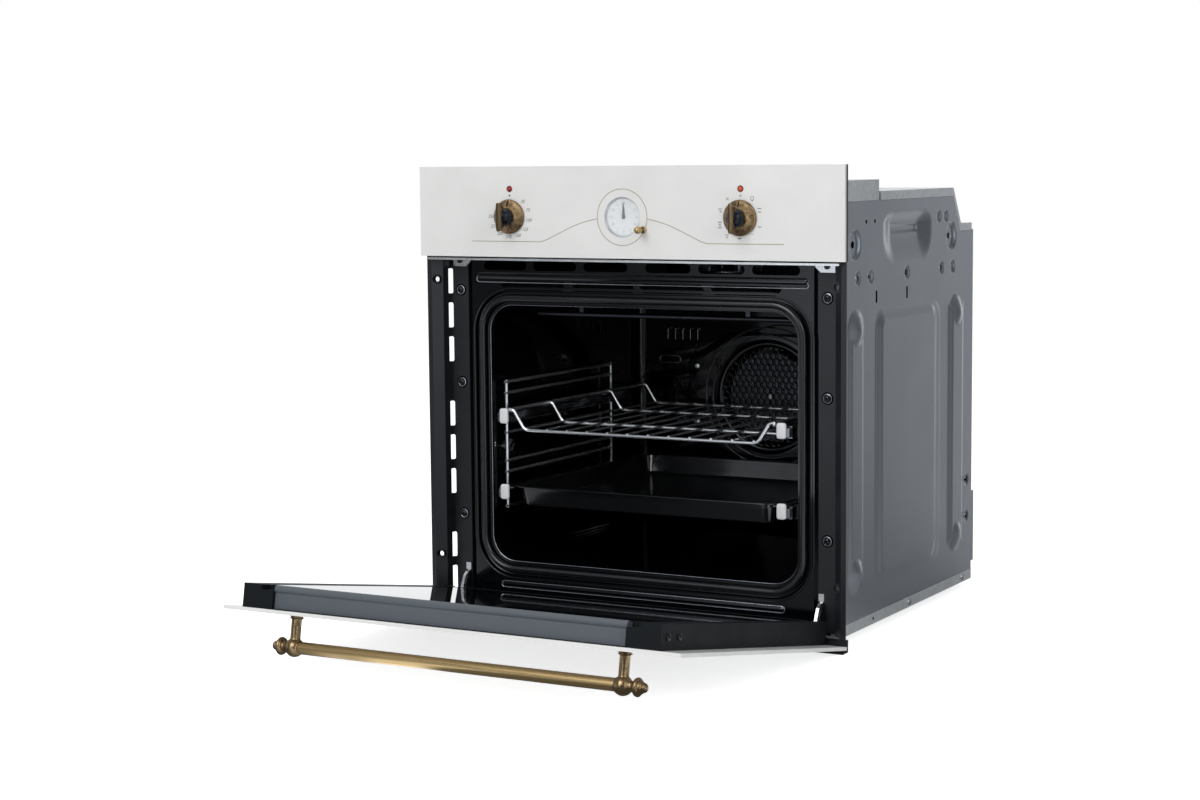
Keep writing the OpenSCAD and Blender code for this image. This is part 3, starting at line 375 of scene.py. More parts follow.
def ribbon(line: Array, width: float, y: float, deep: float, closed: bool = False) -> Sheet:
    """A flat printed stroke on a plane of constant Y, as a thin rectangular bar along the line.

    Args:
        line: Points (x, z) along the stroke.
        width: The stroke's width.
        y: Its front face.
        deep: Its thickness.
        closed: Whether the stroke is a loop.

    Returns:
        The stroke.
    """
    p = np.asarray(line, float)
    go = (np.roll(p, -1, 0) - np.roll(p, 1, 0)) if closed else np.gradient(p, axis=0)
    go = unit(go)
    side = np.stack([-go[:, 1], go[:, 0]], -1) * width / 2
    corners_at = ((-1, y), (1, y), (1, y + deep), (-1, y + deep))
    ring = np.stack([np.insert(p + s * side, 1, h, axis=1) for s, h in corners_at], 1)
    sheet = Sheet(ring.reshape(-1, 3), grid_quads(len(p), 4, closed, True))
    if not closed:
        n = len(ring) * 4 - 4
        sheet.quads = np.concatenate([sheet.quads, [[3, 2, 1, 0], [n, n + 1, n + 2, n + 3]]])
    return sheet


def stroke(x0: float, z0: float, x1: float, z1: float, width: float, y: float) -> Sheet:
    """A straight printed stroke between two points on a plane of constant Y."""
    return ribbon(np.array([[x0, z0], [x1, z1]]), width, y, PRINT_DEEP)


def cross_screws(profile: list[tuple[float, float]], places: list[Point], deep: tuple[float, float],
                 reach: float) -> tuple[Sheet, Sheet]:
    """Cross-head screws that face X, at both sides.

    Args:
        profile: Profile of the head.
        places: Where each head starts.
        deep: Start and end of the cross, measured out from there.
        reach: Half length of its bars.

    Returns:
        All the heads, and all the crosses.
    """
    heads, thin = [lathe(profile, at, Axis.X, 24) for at in places], 0.35
    slots = [block(x + deep[0], x + deep[1], y - a, y + a, z - b, z + b, 0.08)
             for x, y, z in places for a, b in ((reach, thin), (thin, reach))]
    return Sheet.joined(heads).pair(), Sheet.joined(slots).pair()


def smoothstep(x: Array) -> Array:
    """The cubic that rises from 0 to 1 with level ends, x clipped to that range."""
    x = np.clip(x, 0, 1)
    return x * x * (3 - 2 * x)


# Finishes


class Nodes:
    """Small helper that adds nodes to a tree and links them."""

    def __init__(self, tree: Tree) -> None:
        """Keeps the tree that the nodes go into."""
        self.tree = tree

    def feed(self, node: Node, values: dict[str | int, object]) -> None:
        """Links a node's inputs to sockets, or sets them to plain values.

        Args:
            node: The node.
            values: Input name or number to a socket or a plain value.
        """
        for key, value in values.items():
            if isinstance(value, Socket):
                self.tree.links.new(value, node.inputs[key])
            else:
                node.inputs[key].default_value = value

    def add(self, kind: str, values: dict[str | int, object] | None = None, **settings: object) -> Node:
        """Adds a node, sets its options and feeds its inputs.

        Args:
            kind: Blender's node type after the word ShaderNode.
            values: Input name or number to a socket or a plain value.
            **settings: Attributes of the node.

        Returns:
            The node.
        """
        node = self.tree.nodes.new("ShaderNode" + kind)
        for key, value in settings.items():
            setattr(node, key, value)
        self.feed(node, values or {})
        return node

    def use(self, tree: Tree, values: dict[str | int, object] | None = None) -> Node:
        """Adds a node group."""
        return self.add("Group", values, node_tree=tree)

    def at(self, space: str = "Object") -> Socket:
        """The coordinates of the point being shaded."""
        return self.add("TexCoord").outputs[space]

    def math(self, operation: str, *values: object) -> Socket:
        """The result of one sum on numbers."""
        return self.add("Math", dict(enumerate(values)), operation=operation).outputs[0]

    def noise(self, at: Socket, scale: object, detail: float, rough: float = 0.5) -> Socket:
        """Cloudy noise from 0 to 1."""
        values = {"Vector": at, "Scale": scale, "Detail": detail, "Roughness": rough}
        return self.add("TexNoise", values).outputs[0]

    def lines(self, stretch: object, scale: object, detail: float) -> Socket:
        """Noise in coordinates that are scaled by the stretch, so that it runs in lines."""
        long = self.add("VectorMath", {0: self.at(), 1: stretch}, operation="MULTIPLY")
        return self.noise(long.outputs[0], scale, detail)

    def span(self, value: Socket, start: float = 0.0, end: float = 1.0, low: object = 0.0, high: object = 1.0,
             smooth: bool = False) -> Socket:
        """Maps the range from start to end onto the range from low to high.

        Args:
            value: The socket to map.
            start: Where the range of the value starts.
            end: Where it ends.
            low: Result at the start, a number or a socket.
            high: Result at the end, a number or a socket.
            smooth: Use the cubic with level ends instead of a straight line.

        Returns:
            The result's socket.
        """
        kind = "SMOOTHSTEP" if smooth else "LINEAR"
        values = {0: value, 1: start, 2: end, 3: low, 4: high}
        return self.add("MapRange", values, interpolation_type=kind).outputs[0]

    def mix(self, share: Socket, low: object, high: object, colour: bool = False) -> Socket:
        """Blends two numbers or two colours."""
        first, kind, out = (6, "RGBA", 2) if colour else (2, "FLOAT", 0)
        return self.add("Mix", {0: share, first: low, first + 1: high}, data_type=kind).outputs[out]

    def ramp(self, value: Socket, stops: list[tuple[float, Colour]]) -> Socket:
        """A colour ramp over a value.

        Args:
            value: The socket that drives it.
            stops: Position and colour pairs.

        Returns:
            The ramp's colour socket.
        """
        node = self.add("ValToRGB", {0: value})
        while len(node.color_ramp.elements) < len(stops):
            node.color_ramp.elements.new(0.5)
        for element, (at, colour) in zip(node.color_ramp.elements, stops):
            element.position, element.color = at, (*colour, 1)
        return node.outputs[0]


class Group(Nodes):
    """A shader node group that is being filled."""

    def __init__(self, name: str, inputs: dict[str, object], outputs: tuple[str, ...]) -> None:
        """Starts the group with named sockets.

        Args:
            name: The group's name.
            inputs: Socket name to its default, whose length gives its type.
            outputs: Socket names; the one called Colour is a colour, the others are numbers.
        """
        super().__init__(bpy.data.node_groups.new(name, "ShaderNodeTree"))
        face = self.tree.interface
        for label, default in inputs.items():
            kind = {1: "NodeSocketFloat", 3: "NodeSocketVector", 4: "NodeSocketColor"}[np.size(default)]
            face.new_socket(name=label, in_out="INPUT", socket_type=kind).default_value = default
        for label in outputs:
            kind = "NodeSocketColor" if label == "Colour" else "NodeSocketFloat"
            face.new_socket(name=label, in_out="OUTPUT", socket_type=kind)
        self.given = self.tree.nodes.new("NodeGroupInput").outputs

    def give(self, *results: Socket) -> Tree:
        """Links the group's outputs in their order, and hands the group over.

        Args:
            *results: The sockets, one for each output.

        Returns:
            The finished group.
        """
        for socket, result in zip(self.tree.nodes.new("NodeGroupOutput").inputs, results):
            self.tree.links.new(result, socket)
        return self.tree


class Effects:
    """Node groups that several finishes share, each built once."""

    def __init__(self) -> None:
        """Builds every group."""
        self.grain = self._grain()
        self.patina = self._patina()
        self.spangle = self._spangle()
        self.brush = self._brush()

    def _grain(self) -> Tree:
        """Fine and broad noise: a small height, and a mask for slight changes of colour and gloss.

        Returns:
            The finished group.
        """
        n = Group("surface_grain", {"Fine Scale": 900.0, "Broad Scale": 12.0, "Low": 0.3, "High": 0.4},
                  ("Height", "Broad", "Gloss"))
        at, g = n.at(), n.given
        broad = n.noise(at, g["Broad Scale"], 5.0, 0.6)
        return n.give(n.noise(at, g["Fine Scale"], 4.0), broad, n.span(broad, 0.3, 0.7, g["Low"], g["High"]))

    def _patina(self) -> Tree:
        """Aged brass: cloudy dark and light patches with fine scratches along one axis.

        Returns:
            The finished group.
        """
        n = Group("brass_patina",
                  {"Dark": (0.1, 0.07, 0.03, 1), "Light": (0.5, 0.36, 0.15, 1), "Patches": 90.0,
                   "Stretch": (1, 1, 1), "Low": 0.3, "High": 0.5, "Share": 0.5},
                  ("Colour", "Roughness", "Height"))
        g = n.given
        lines = n.lines(g["Stretch"], 700.0, 3.0)
        cloud = n.noise(n.at(), g["Patches"], 6.0, 0.65)
        mask = n.span(n.mix(g["Share"], lines, cloud), 0.34, 0.66)
        rough = n.span(mask, low=g["High"], high=g["Low"])
        return n.give(n.mix(mask, g["Dark"], g["Light"], True), rough, lines)

    def _spangle(self) -> Tree:
        """Zinc coating: small crystal fields of slightly different grey over a soft cloud.

        Returns:
            The finished group.
        """
        n = Group("zinc_spangle",
                  {"Dark": (0.2, 0.21, 0.22, 1), "Light": (0.3, 0.31, 0.32, 1), "Crystal Scale": 220.0,
                   "Crystal Share": 0.25},
                  ("Colour", "Mask", "Height"))
        at, g = n.at(), n.given
        cell = n.add("TexVoronoi", {"Vector": at, "Scale": g["Crystal Scale"]})
        grey = n.add("SeparateColor", {0: cell.outputs["Color"]}).outputs[0]
        mask = n.span(n.mix(g["Crystal Share"], n.noise(at, 9.0, 5.0, 0.6), grey), 0.25, 0.75)
        return n.give(n.mix(mask, g["Dark"], g["Light"], True), mask, n.noise(at, 1500.0, 2.0))

    def _brush(self) -> Tree:
        """Brushed or drawn metal: noise stretched along one axis.

        Returns:
            The finished group.
        """
        n = Group("drawn_metal", {"Stretch": (0.03, 1, 1), "Scale": 900.0, "Low": 0.15, "High": 0.3},
                  ("Roughness", "Height"))
        g = n.given
        lines = n.lines(g["Stretch"], g["Scale"], 4.0)
        return n.give(n.span(lines, 0.3, 0.7, g["Low"], g["High"]), lines)


@dataclass(frozen=True)
class Finish:
    """A finish that fills one Principled shader.

    Subclasses add their own nodes in `dress`.
    """

    name: str
    colour: Colour = (0.5, 0.5, 0.5)
    roughness: float = 0.4
    metallic: float = 0.0
    specular: float = 0.5
    bump: float = 0.0

    def build(self, effects: Effects) -> bpy.types.Material:
        """Makes the material.

        Args:
            effects: The shared node groups.

        Returns:
            The new material.
        """
        material = bpy.data.materials.new(self.name)
        material.use_nodes = True
        n = Nodes(material.node_tree)
        shader = n.tree.nodes["Principled BSDF"]
        n.feed(shader, {"Base Color": (*self.colour, 1), "Roughness": self.roughness,
                        "Metallic": self.metallic, "Specular IOR Level": self.specular})
        height = self.dress(n, shader, effects)
        if height is not None and self.bump > 0:
            bump = n.add("Bump", {"Strength": self.bump, "Distance": 0.0004, "Height": height})
            n.feed(shader, {"Normal": bump.outputs[0]})
        return material

    def gloss(self, low: float, high: float) -> dict[str, float]:
        """The range of roughness as inputs of an effect, in shares of the finish's own roughness."""
        return {"Low": self.roughness * low, "High": self.roughness * high}

    def tint(self, n: Nodes, broad: Socket, dark: float) -> Socket:
        """The colour, a little darker where the broad noise is low."""
        return n.ramp(broad, [(0.3, tuple(c * dark for c in self.colour)), (0.7, self.colour)])

    def dress(self, n: Nodes, shader: Node, effects: Effects) -> Socket | None:
        """Adds a faint variation of gloss and a fine grain.

        Args:
            n: Helper for the material's nodes.
            shader: The Principled shader.
            effects: The shared node groups.

        Returns:
            A height socket for the bump, or None.
        """
        g = n.use(effects.grain, self.gloss(0.85, 1.2)).outputs
        n.feed(shader, {"Roughness": g["Gloss"], "Base Color": self.tint(n, g["Broad"], 0.93)})
        return g["Height"]


@dataclass(frozen=True)
class Enamel(Finish):
    """Fired glass enamel: very smooth, with a few tiny pale specks and a long soft ripple."""

    speck: float = 0.0

    def dress(self, n: Nodes, shader: Node, effects: Effects) -> Socket | None:
        """Adds specks to the colour and a slow ripple to the surface.

        Args:
            n: Helper for the material's nodes.
            shader: The Principled shader.
            effects: The shared node groups.

        Returns:
            A height socket for the bump, or None.
        """
        g = n.use(effects.grain, {"Fine Scale": 60.0, **self.gloss(0.7, 1.4)}).outputs
        cell = n.add("TexVoronoi", {"Vector": n.at(), "Scale": 260.0}).outputs
        lit = tuple(min(1.0, c + self.speck) for c in self.colour)
        tint = n.ramp(cell["Distance"], [(0.05, lit), (0.09, self.colour)])
        n.feed(shader, {"Roughness": g["Gloss"], "Base Color": tint})
        return g["Height"]


@dataclass(frozen=True)
class Zinc(Finish):
    """Zinc-coated or grey-coated sheet, seen in broad soft reflections."""

    light: Colour = (0.6, 0.6, 0.6)
    crystal: float = 220.0
    share: float = 0.25

    def dress(self, n: Nodes, shader: Node, effects: Effects) -> Socket | None:
        """Feeds the spangle to colour and gloss.

        Args:
            n: Helper for the material's nodes.
            shader: The Principled shader.
            effects: The shared node groups.

        Returns:
            A height socket for the bump, or None.
        """
        g = n.use(effects.spangle, {"Dark": (*self.colour, 1), "Light": (*self.light, 1),
                                    "Crystal Scale": self.crystal, "Crystal Share": self.share}).outputs
        rough = n.span(g["Mask"], low=self.roughness * 1.15, high=self.roughness * 0.85)
        n.feed(shader, {"Base Color": g["Colour"], "Roughness": rough})
        return g["Height"]


@dataclass(frozen=True)
class Brass(Finish):
    """Antique brass with dark patches left in it and a brushed, worn surface."""

    light: Colour = (0.5, 0.36, 0.15)
    patches: float = 90.0
    share: float = 0.5
    stretch: Point = (1, 1, 1)

    def dress(self, n: Nodes, shader: Node, effects: Effects) -> Socket | None:
        """Feeds the patina to colour and gloss.

        Args:
            n: Helper for the material's nodes.
            shader: The Principled shader.
            effects: The shared node groups.

        Returns:
            A height socket for the bump, or None.
        """
        g = n.use(effects.patina, {
            "Dark": (*self.colour, 1), "Light": (*self.light, 1), "Patches": self.patches,
            "Stretch": self.stretch, "Share": self.share, **self.gloss(0.8, 1.3)}).outputs
        n.feed(shader, {"Base Color": g["Colour"], "Roughness": g["Roughness"]})
        return g["Height"]


@dataclass(frozen=True)
class TurnedBronze(Finish):
    """Bronze with fine ridges that run out from the middle of each knob, and a cloudy patina."""

    light: Colour = (0.42, 0.31, 0.17)
    ridges: float = 90.0

    def dress(self, n: Nodes, shader: Node, effects: Effects) -> Socket | None:
        """Makes ridges from the angle about the knob's middle, at either side of X = 0.

        Args:
            n: Helper for the material's nodes.
            shader: The Principled shader.
            effects: The shared node groups.

        Returns:
            A height socket for the bump, or None.
        """
        at = n.add("SeparateXYZ", {0: n.at()}).outputs
        x = n.math("SUBTRACT", n.math("ABSOLUTE", at["X"]), KNOB_X * MM)
        z = n.math("SUBTRACT", at["Z"], KNOB_Z * MM)
        ridge = n.math("SINE", n.math("MULTIPLY", n.math("ARCTAN2", z, x), self.ridges))
        g = n.use(effects.grain, {"Fine Scale": 1400.0, "Broad Scale": 260.0, **self.gloss(0.8, 1.3)}).outputs
        tint = n.ramp(g["Broad"], [(0.35, self.colour), (0.65, self.light)])
        n.feed(shader, {"Base Color": tint, "Roughness": g["Gloss"]})
        return n.math("ADD", n.math("MULTIPLY", ridge, 0.25), g["Height"])


@dataclass(frozen=True)
class Drawn(Finish):
    """Bright metal with fine lines along one axis."""

    stretch: Point = (0.03, 1, 1)

    def dress(self, n: Nodes, shader: Node, effects: Effects) -> Socket | None:
        """Feeds the drawn lines to gloss, and a cloud to the colour.

        Args:
            n: Helper for the material's nodes.
            shader: The Principled shader.
            effects: The shared node groups.

        Returns:
            A height socket for the bump, or None.
        """
        g = n.use(effects.brush, {"Stretch": self.stretch, **self.gloss(0.7, 1.4)}).outputs
        cloud = n.use(effects.grain).outputs["Broad"]
        n.feed(shader, {"Roughness": g["Roughness"], "Base Color": self.tint(n, cloud, 0.88)})
        return g["Height"]


@dataclass(frozen=True)
class Clear(Finish):
    """Thin clear glass, mostly see-through, with a faint haze."""

    alpha: float = 0.07

    def dress(self, n: Nodes, shader: Node, effects: Effects) -> Socket | None:
        """Makes the sheet nearly transparent, and varies the gloss a little.

        Args:
            n: Helper for the material's nodes.
            shader: The Principled shader.
            effects: The shared node groups.

        Returns:
            A height socket for the bump, or None.
        """
        g = n.use(effects.grain, self.gloss(0.6, 1.4)).outputs
        n.feed(shader, {"Alpha": self.alpha, "Roughness": g["Gloss"]})
        return None


class Look(Enum):
    """Every finish on the oven."""

    WHITE_GLASS = Finish("white_glass", (0.77, 0.77, 0.765), 0.14, specular=0.3, bump=0.004)
    BLACK_PAINT = Finish("black_paint", (0.0055, 0.0064, 0.0082), 0.36, specular=0.4, bump=0.05)
    SCREW = Finish("screw_black", (0.014, 0.015, 0.018), 0.25, 0.5, bump=0.02)
    SIDE_SCREW = Drawn("side_screw_zinc", (0.7, 0.71, 0.72), 0.22, 0.9, bump=0.02)
    DOOR_PAINT = Finish("door_paint", (0.0085, 0.0102, 0.0118), 0.5, specular=0.08, bump=0.08)
    GREY_TEXTURE = Finish("grey_texture", (0.085, 0.1, 0.115), 0.5, specular=0.35, bump=0.6)
    ENAMEL = Enamel("black_enamel", (0.0009, 0.0011, 0.002), 0.07, specular=0.42, bump=0.03, speck=0.02)
    # Pale grey metal that paints highlights on the rounded edges, rings, pressings and screw rims of the
    # black enamel.
    EDGE_ENAMEL = Finish("painted_highlight_enamel", (0.4, 0.42, 0.45), 0.2, 0.85, bump=0.01)
    TRAY_ENAMEL = Enamel("tray_enamel", (0.0055, 0.0062, 0.0072), 0.14, specular=0.7, bump=0.03, speck=0.02)
    COVER_ENAMEL = Enamel("cover_enamel", (0.0007, 0.0009, 0.0016), 0.12, specular=0.45, bump=0.03,
                          speck=0.01)
    PLATE_ENAMEL = Enamel("plate_enamel", (0.0016, 0.0019, 0.0028), 0.1, specular=0.5, bump=0.03, speck=0.01)
    CASING = Zinc("grey_casing", (0.262, 0.286, 0.323), 0.23, 0.85, bump=0.006, light=(0.297, 0.323, 0.36),
                  crystal=900.0, share=0.1)
    ZINC = Zinc("zinc_cover", (0.42, 0.45, 0.475), 0.38, 0.5, bump=0.01, light=(0.57, 0.6, 0.625))
    DARK_ZINC = Zinc("shaded_zinc", (0.01, 0.011, 0.012), 0.5, 0.3, bump=0.01, light=(0.016, 0.017, 0.018))
    RUBBER = Finish("seal_rubber", (0.004, 0.0045, 0.0055), 0.26, specular=0.5, bump=0.04)
    ALUMINIUM = Drawn("bright_aluminium", (0.78, 0.79, 0.79), 0.22, 0.8, bump=0.02)
    CHROME = Drawn("chromed_wire", (0.82, 0.83, 0.85), 0.16, 0.9, bump=0.01)
    STEEL = Drawn("bright_steel", (0.66, 0.67, 0.68), 0.25, 1.0, bump=0.02, stretch=(1, 0.03, 1))
    # Near-black steel: the heating elements' own burnt colour, and painted shade on the fan blade behind the
    # sieve.
    DARK_STEEL = Drawn("burnt_steel_and_painted_shade", (0.06, 0.062, 0.07), 0.32, 1.0, bump=0.02)
    RUNNER = Drawn("runner_steel", (0.2, 0.205, 0.22), 0.2, 1.0, bump=0.02, stretch=(1, 0.03, 1))
    TAB = Finish("white_nylon_tab", (0.74, 0.75, 0.77), 0.35, bump=0.03)
    BRASS = Brass("antique_brass", (0.36, 0.245, 0.11), 0.3, 1.0, bump=0.02, light=(0.52, 0.375, 0.185),
                  share=0.1, stretch=(0.015, 1, 1))
    POST_BRASS = Brass("post_brass", (0.13, 0.085, 0.045), 0.28, 1.0, bump=0.02, light=(0.36, 0.255, 0.135),
                       patches=60.0, share=0.35, stretch=(1, 1, 1))
    BRONZE = TurnedBronze("knob_bronze", (0.115, 0.074, 0.037), 0.3, 1.0, bump=0.5, light=(0.31, 0.21, 0.11))
    GRIP_BRONZE = Brass("grip_bronze", (0.07, 0.047, 0.024), 0.3, 1.0, bump=0.02, light=(0.21, 0.15, 0.08),
                        patches=70.0, share=0.4)
    GOLD_PRINT = Finish("gold_print", (0.33, 0.285, 0.185), 0.4, bump=0.01)
    GREY_PRINT = Finish("grey_print", (0.06, 0.06, 0.065), 0.5, bump=0.01)
    DIAL_PRINT = Finish("dial_print", (0.32, 0.34, 0.36), 0.5, bump=0.01)
    BLACK_GLOSS = Finish("black_gloss", (0.004, 0.006, 0.0105), 0.26, specular=0.2, bump=0.004)
    BLACK_PLASTIC = Finish("black_plastic", (0.012, 0.012, 0.014), 0.45, bump=0.05)
    DIAL = Finish("dial_face", (0.78, 0.81, 0.83), 0.35, bump=0.01)
    BEZEL = Drawn("bezel_metal", (0.6, 0.61, 0.63), 0.3, 1.0, bump=0.02)
    HAND = Finish("hand_grey", (0.14, 0.14, 0.15), 0.35, 0.4, bump=0.01)
    RED = Finish("red_lens", (0.33, 0.008, 0.016), 0.15, bump=0.02)
    LENS_RING = Finish("lens_ring", (0.16, 0.03, 0.02), 0.3, bump=0.02)
    ORANGE = Finish("orange_lens", (0.62, 0.075, 0.008), 0.15, bump=0.02)
    DARK_GLASS = Finish("dark_glass", (0.0035, 0.004, 0.005), 0.03, specular=0.9, bump=0.002)
    CLEAR_GLASS = Clear("clear_glass", (0.97, 0.98, 0.98), 0.05)
    CERAMIC = Finish("ceramic", (0.72, 0.69, 0.6), 0.5, bump=0.1)
    # Mineral wool coloured near-black: painted shade where it shows through the back wall's slots.
    WOOL = Finish("mineral_wool_in_painted_shade", (0.02, 0.019, 0.017), 0.9, specular=0.1, bump=0.9)
    # Near-black sheet that paints the shade inside holes, slots and screw crosses; it is also used for the
    # knob pointers and the setting knob's grooves.
    HOLE = Finish("dark_hole", (0.002, 0.002, 0.002), 0.9, specular=0.0, bump=0.01)


CAD_LOOKS: dict[Look, tuple[str, ...]] = {
    Look.WHITE_GLASS: ("control_panel", "door_outer_glass"),
    Look.BLACK_PAINT: ("bottom_trim", "left_front_post", "right_front_post", "casing_screws", "door_screws"),
    Look.DOOR_PAINT: ("door_frame",),
    Look.GREY_TEXTURE: ("door_top_profile",),
    Look.ENAMEL: ("cavity_liner", "fan_baffle"),
    Look.TRAY_ENAMEL: ("baking_tray",),
    Look.PLATE_ENAMEL: ("front_plate",),
    Look.CASING: ("left_side_panel", "right_side_panel", "back_panel", "rear_cover"),
    Look.ZINC: ("top_cover", "control_box_cover", "fan_motor", "base_plate"),
    Look.DARK_ZINC: ("air_duct",),
    Look.RUBBER: ("door_gasket",),
    Look.ALUMINIUM: ("vent_trim",),
    Look.CHROME: ("wire_rack", "left_side_rack", "right_side_rack"),
    Look.STEEL: ("blower_wheel", "hinge_arms", "hinge_bodies"),
    Look.RUNNER: ("slide_rails", "upper_slide_runners", "lower_slide_runners"),
    # The fan blade is near-black as painted shade behind the sieve.
    Look.DARK_STEEL: ("grill_element", "bottom_element", "ring_element", "fan_blade"),
    Look.BRASS: ("handle_bar", "clock_set_knob"),
    Look.POST_BRASS: ("handle_posts",),
    Look.BRONZE: ("temperature_knob", "function_knob"),
    Look.BLACK_GLOSS: ("temperature_knob_cap", "function_knob_cap"),
    Look.BLACK_PLASTIC: ("panel_housing", "clock_movement", "thermostat", "function_switch"),
    Look.DIAL: ("clock_dial",),
    Look.BEZEL: ("clock_bezel",),
    Look.HAND: ("hour_hand", "minute_hand"),
    Look.RED: ("red_lamp",),
    Look.ORANGE: ("orange_lamp",),
    Look.DARK_GLASS: ("door_inner_glass",),
    Look.CLEAR_GLASS: ("clock_glass", "lamp_glass"),
    Look.CERAMIC: ("lamp_socket", "terminal_block"),
    Look.WOOL: ("insulation",),
}


class Workshop:
    """Turns sheets into Blender pieces with a finish, and puts them on their bodies."""

    def __init__(self, frame: dict) -> None:
        """Builds every material.
        """
        self.frame = frame
        effects = Effects()
        self.materials = {look: look.value.build(effects) for look in Look}

    def dress_nodes(self) -> None:
        """Gives each carried-over CAD node its finish."""
        for look, names in CAD_LOOKS.items():
            for name in names:
                for slot in self.frame["nodes"][name].material_slots:
                    slot.material = self.materials[look]

    def _put(self, name: str, mesh: bpy.types.Mesh, look: Look, body: Body,
             thick: float = 0.0) -> bpy.types.Object:
        """Makes an object of a mesh, with its finish, on its body.

        Args:
            name: The piece's name.
            mesh: Its mesh.
            look: Its finish.
            body: The CAD body that it rides on.
            thick: Wall thickness to add to an open sheet.

        Returns:
            The Blender object.
        """
        mesh.materials.append(self.materials[look])
        thing = bpy.data.objects.new(name, mesh)
        bpy.context.scene.collection.objects.link(thing)
        if thick:
            wall = thing.modifiers.new("wall", "SOLIDIFY")
            wall.thickness, wall.offset = thick * MM, -1.0
        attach(thing, body.value)
        LOG.info("%s: %d faces on %s", name, len(mesh.polygons), body.value)
        return thing

    def piece(self, name: str, sheets: Sheet | list[Sheet], look: Look, slot: str,
              replaces: tuple[str, ...] = (), body: Body = Body.OVEN, crease: float = 35,
              closed: bool = True, thick: float = 0.0) -> None:
        """Makes one piece and puts it on its body.

        Args:
            name: The piece's name.
            sheets: Its surface, or the parts of it.
            look: Its finish.
            slot: Not used.
            replaces: CAD nodes that it stands for.
            body: The CAD body that it rides on.
            crease: Edges sharper than this angle, in degrees, stay sharp.
            closed: Whether the surface is closed, so that its normals can be worked out again.
            thick: Wall thickness to add to an open sheet.
        """
        sheet = sheets if isinstance(sheets, Sheet) else Sheet.joined(sheets)
        mesh = bpy.data.meshes.new(name)
        mesh.from_pydata((sheet.points * MM).tolist(), [], sheet.quads.tolist())
        work = bmesh.new()
        work.from_mesh(mesh)
        bmesh.ops.remove_doubles(work, verts=work.verts, dist=2e-6)
        bmesh.ops.dissolve_degenerate(work, edges=work.edges, dist=1e-7)
        if closed:
            bmesh.ops.recalc_face_normals(work, faces=work.faces)
        work.to_mesh(mesh)
        work.free()
        mesh.polygons.foreach_set("use_smooth", np.ones(len(mesh.polygons), bool))
        mesh.set_sharp_from_angle(angle=math.radians(crease))
        thing = self._put(name, mesh, look, body, thick)
        if replaces:
            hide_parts(*replaces)

    def words(self, name: str, marks: list[tuple[str, float, float]], size: float, y: float, look: Look,
              slot: str, lean: float) -> None:
        """Prints short marks such as dial numbers, as thin flat shapes that face the front.

        Args:
            name: The piece's name.
            marks: Text, X and Z of each mark's middle.
            size: Letter size.
            y: The plane that they lie on.
            look: Their finish.
            slot: Not used.
            lean: Slant of the letters.
        """
        work = bmesh.new()
        upright = Matrix.Rotation(math.pi / 2, 4, "X")
        for text, x, z in marks:
            curve = bpy.data.curves.new(name, "FONT")
            curve.body, curve.size, curve.shear = text, size * MM, lean
            curve.align_x, curve.align_y = "CENTER", "CENTER"
            curve.extrude, curve.resolution_u = 0.00006, 3
            holder = bpy.data.objects.new(name, curve)
            bpy.context.scene.collection.objects.link(holder)
            bpy.context.view_layer.update()
            graph = bpy.context.evaluated_depsgraph_get()
            made = bpy.data.meshes.new_from_object(holder.evaluated_get(graph))
            made.transform(Matrix.Translation((x * MM, y * MM, z * MM)) @ upright)
            work.from_mesh(made)
            bpy.data.objects.remove(holder)
            bpy.data.curves.remove(curve)
            bpy.data.meshes.remove(made)
        mesh = bpy.data.meshes.new(name)
        work.to_mesh(mesh)
        work.free()
        self._put(name, mesh, look, Body.OVEN)


# Sub-assemblies


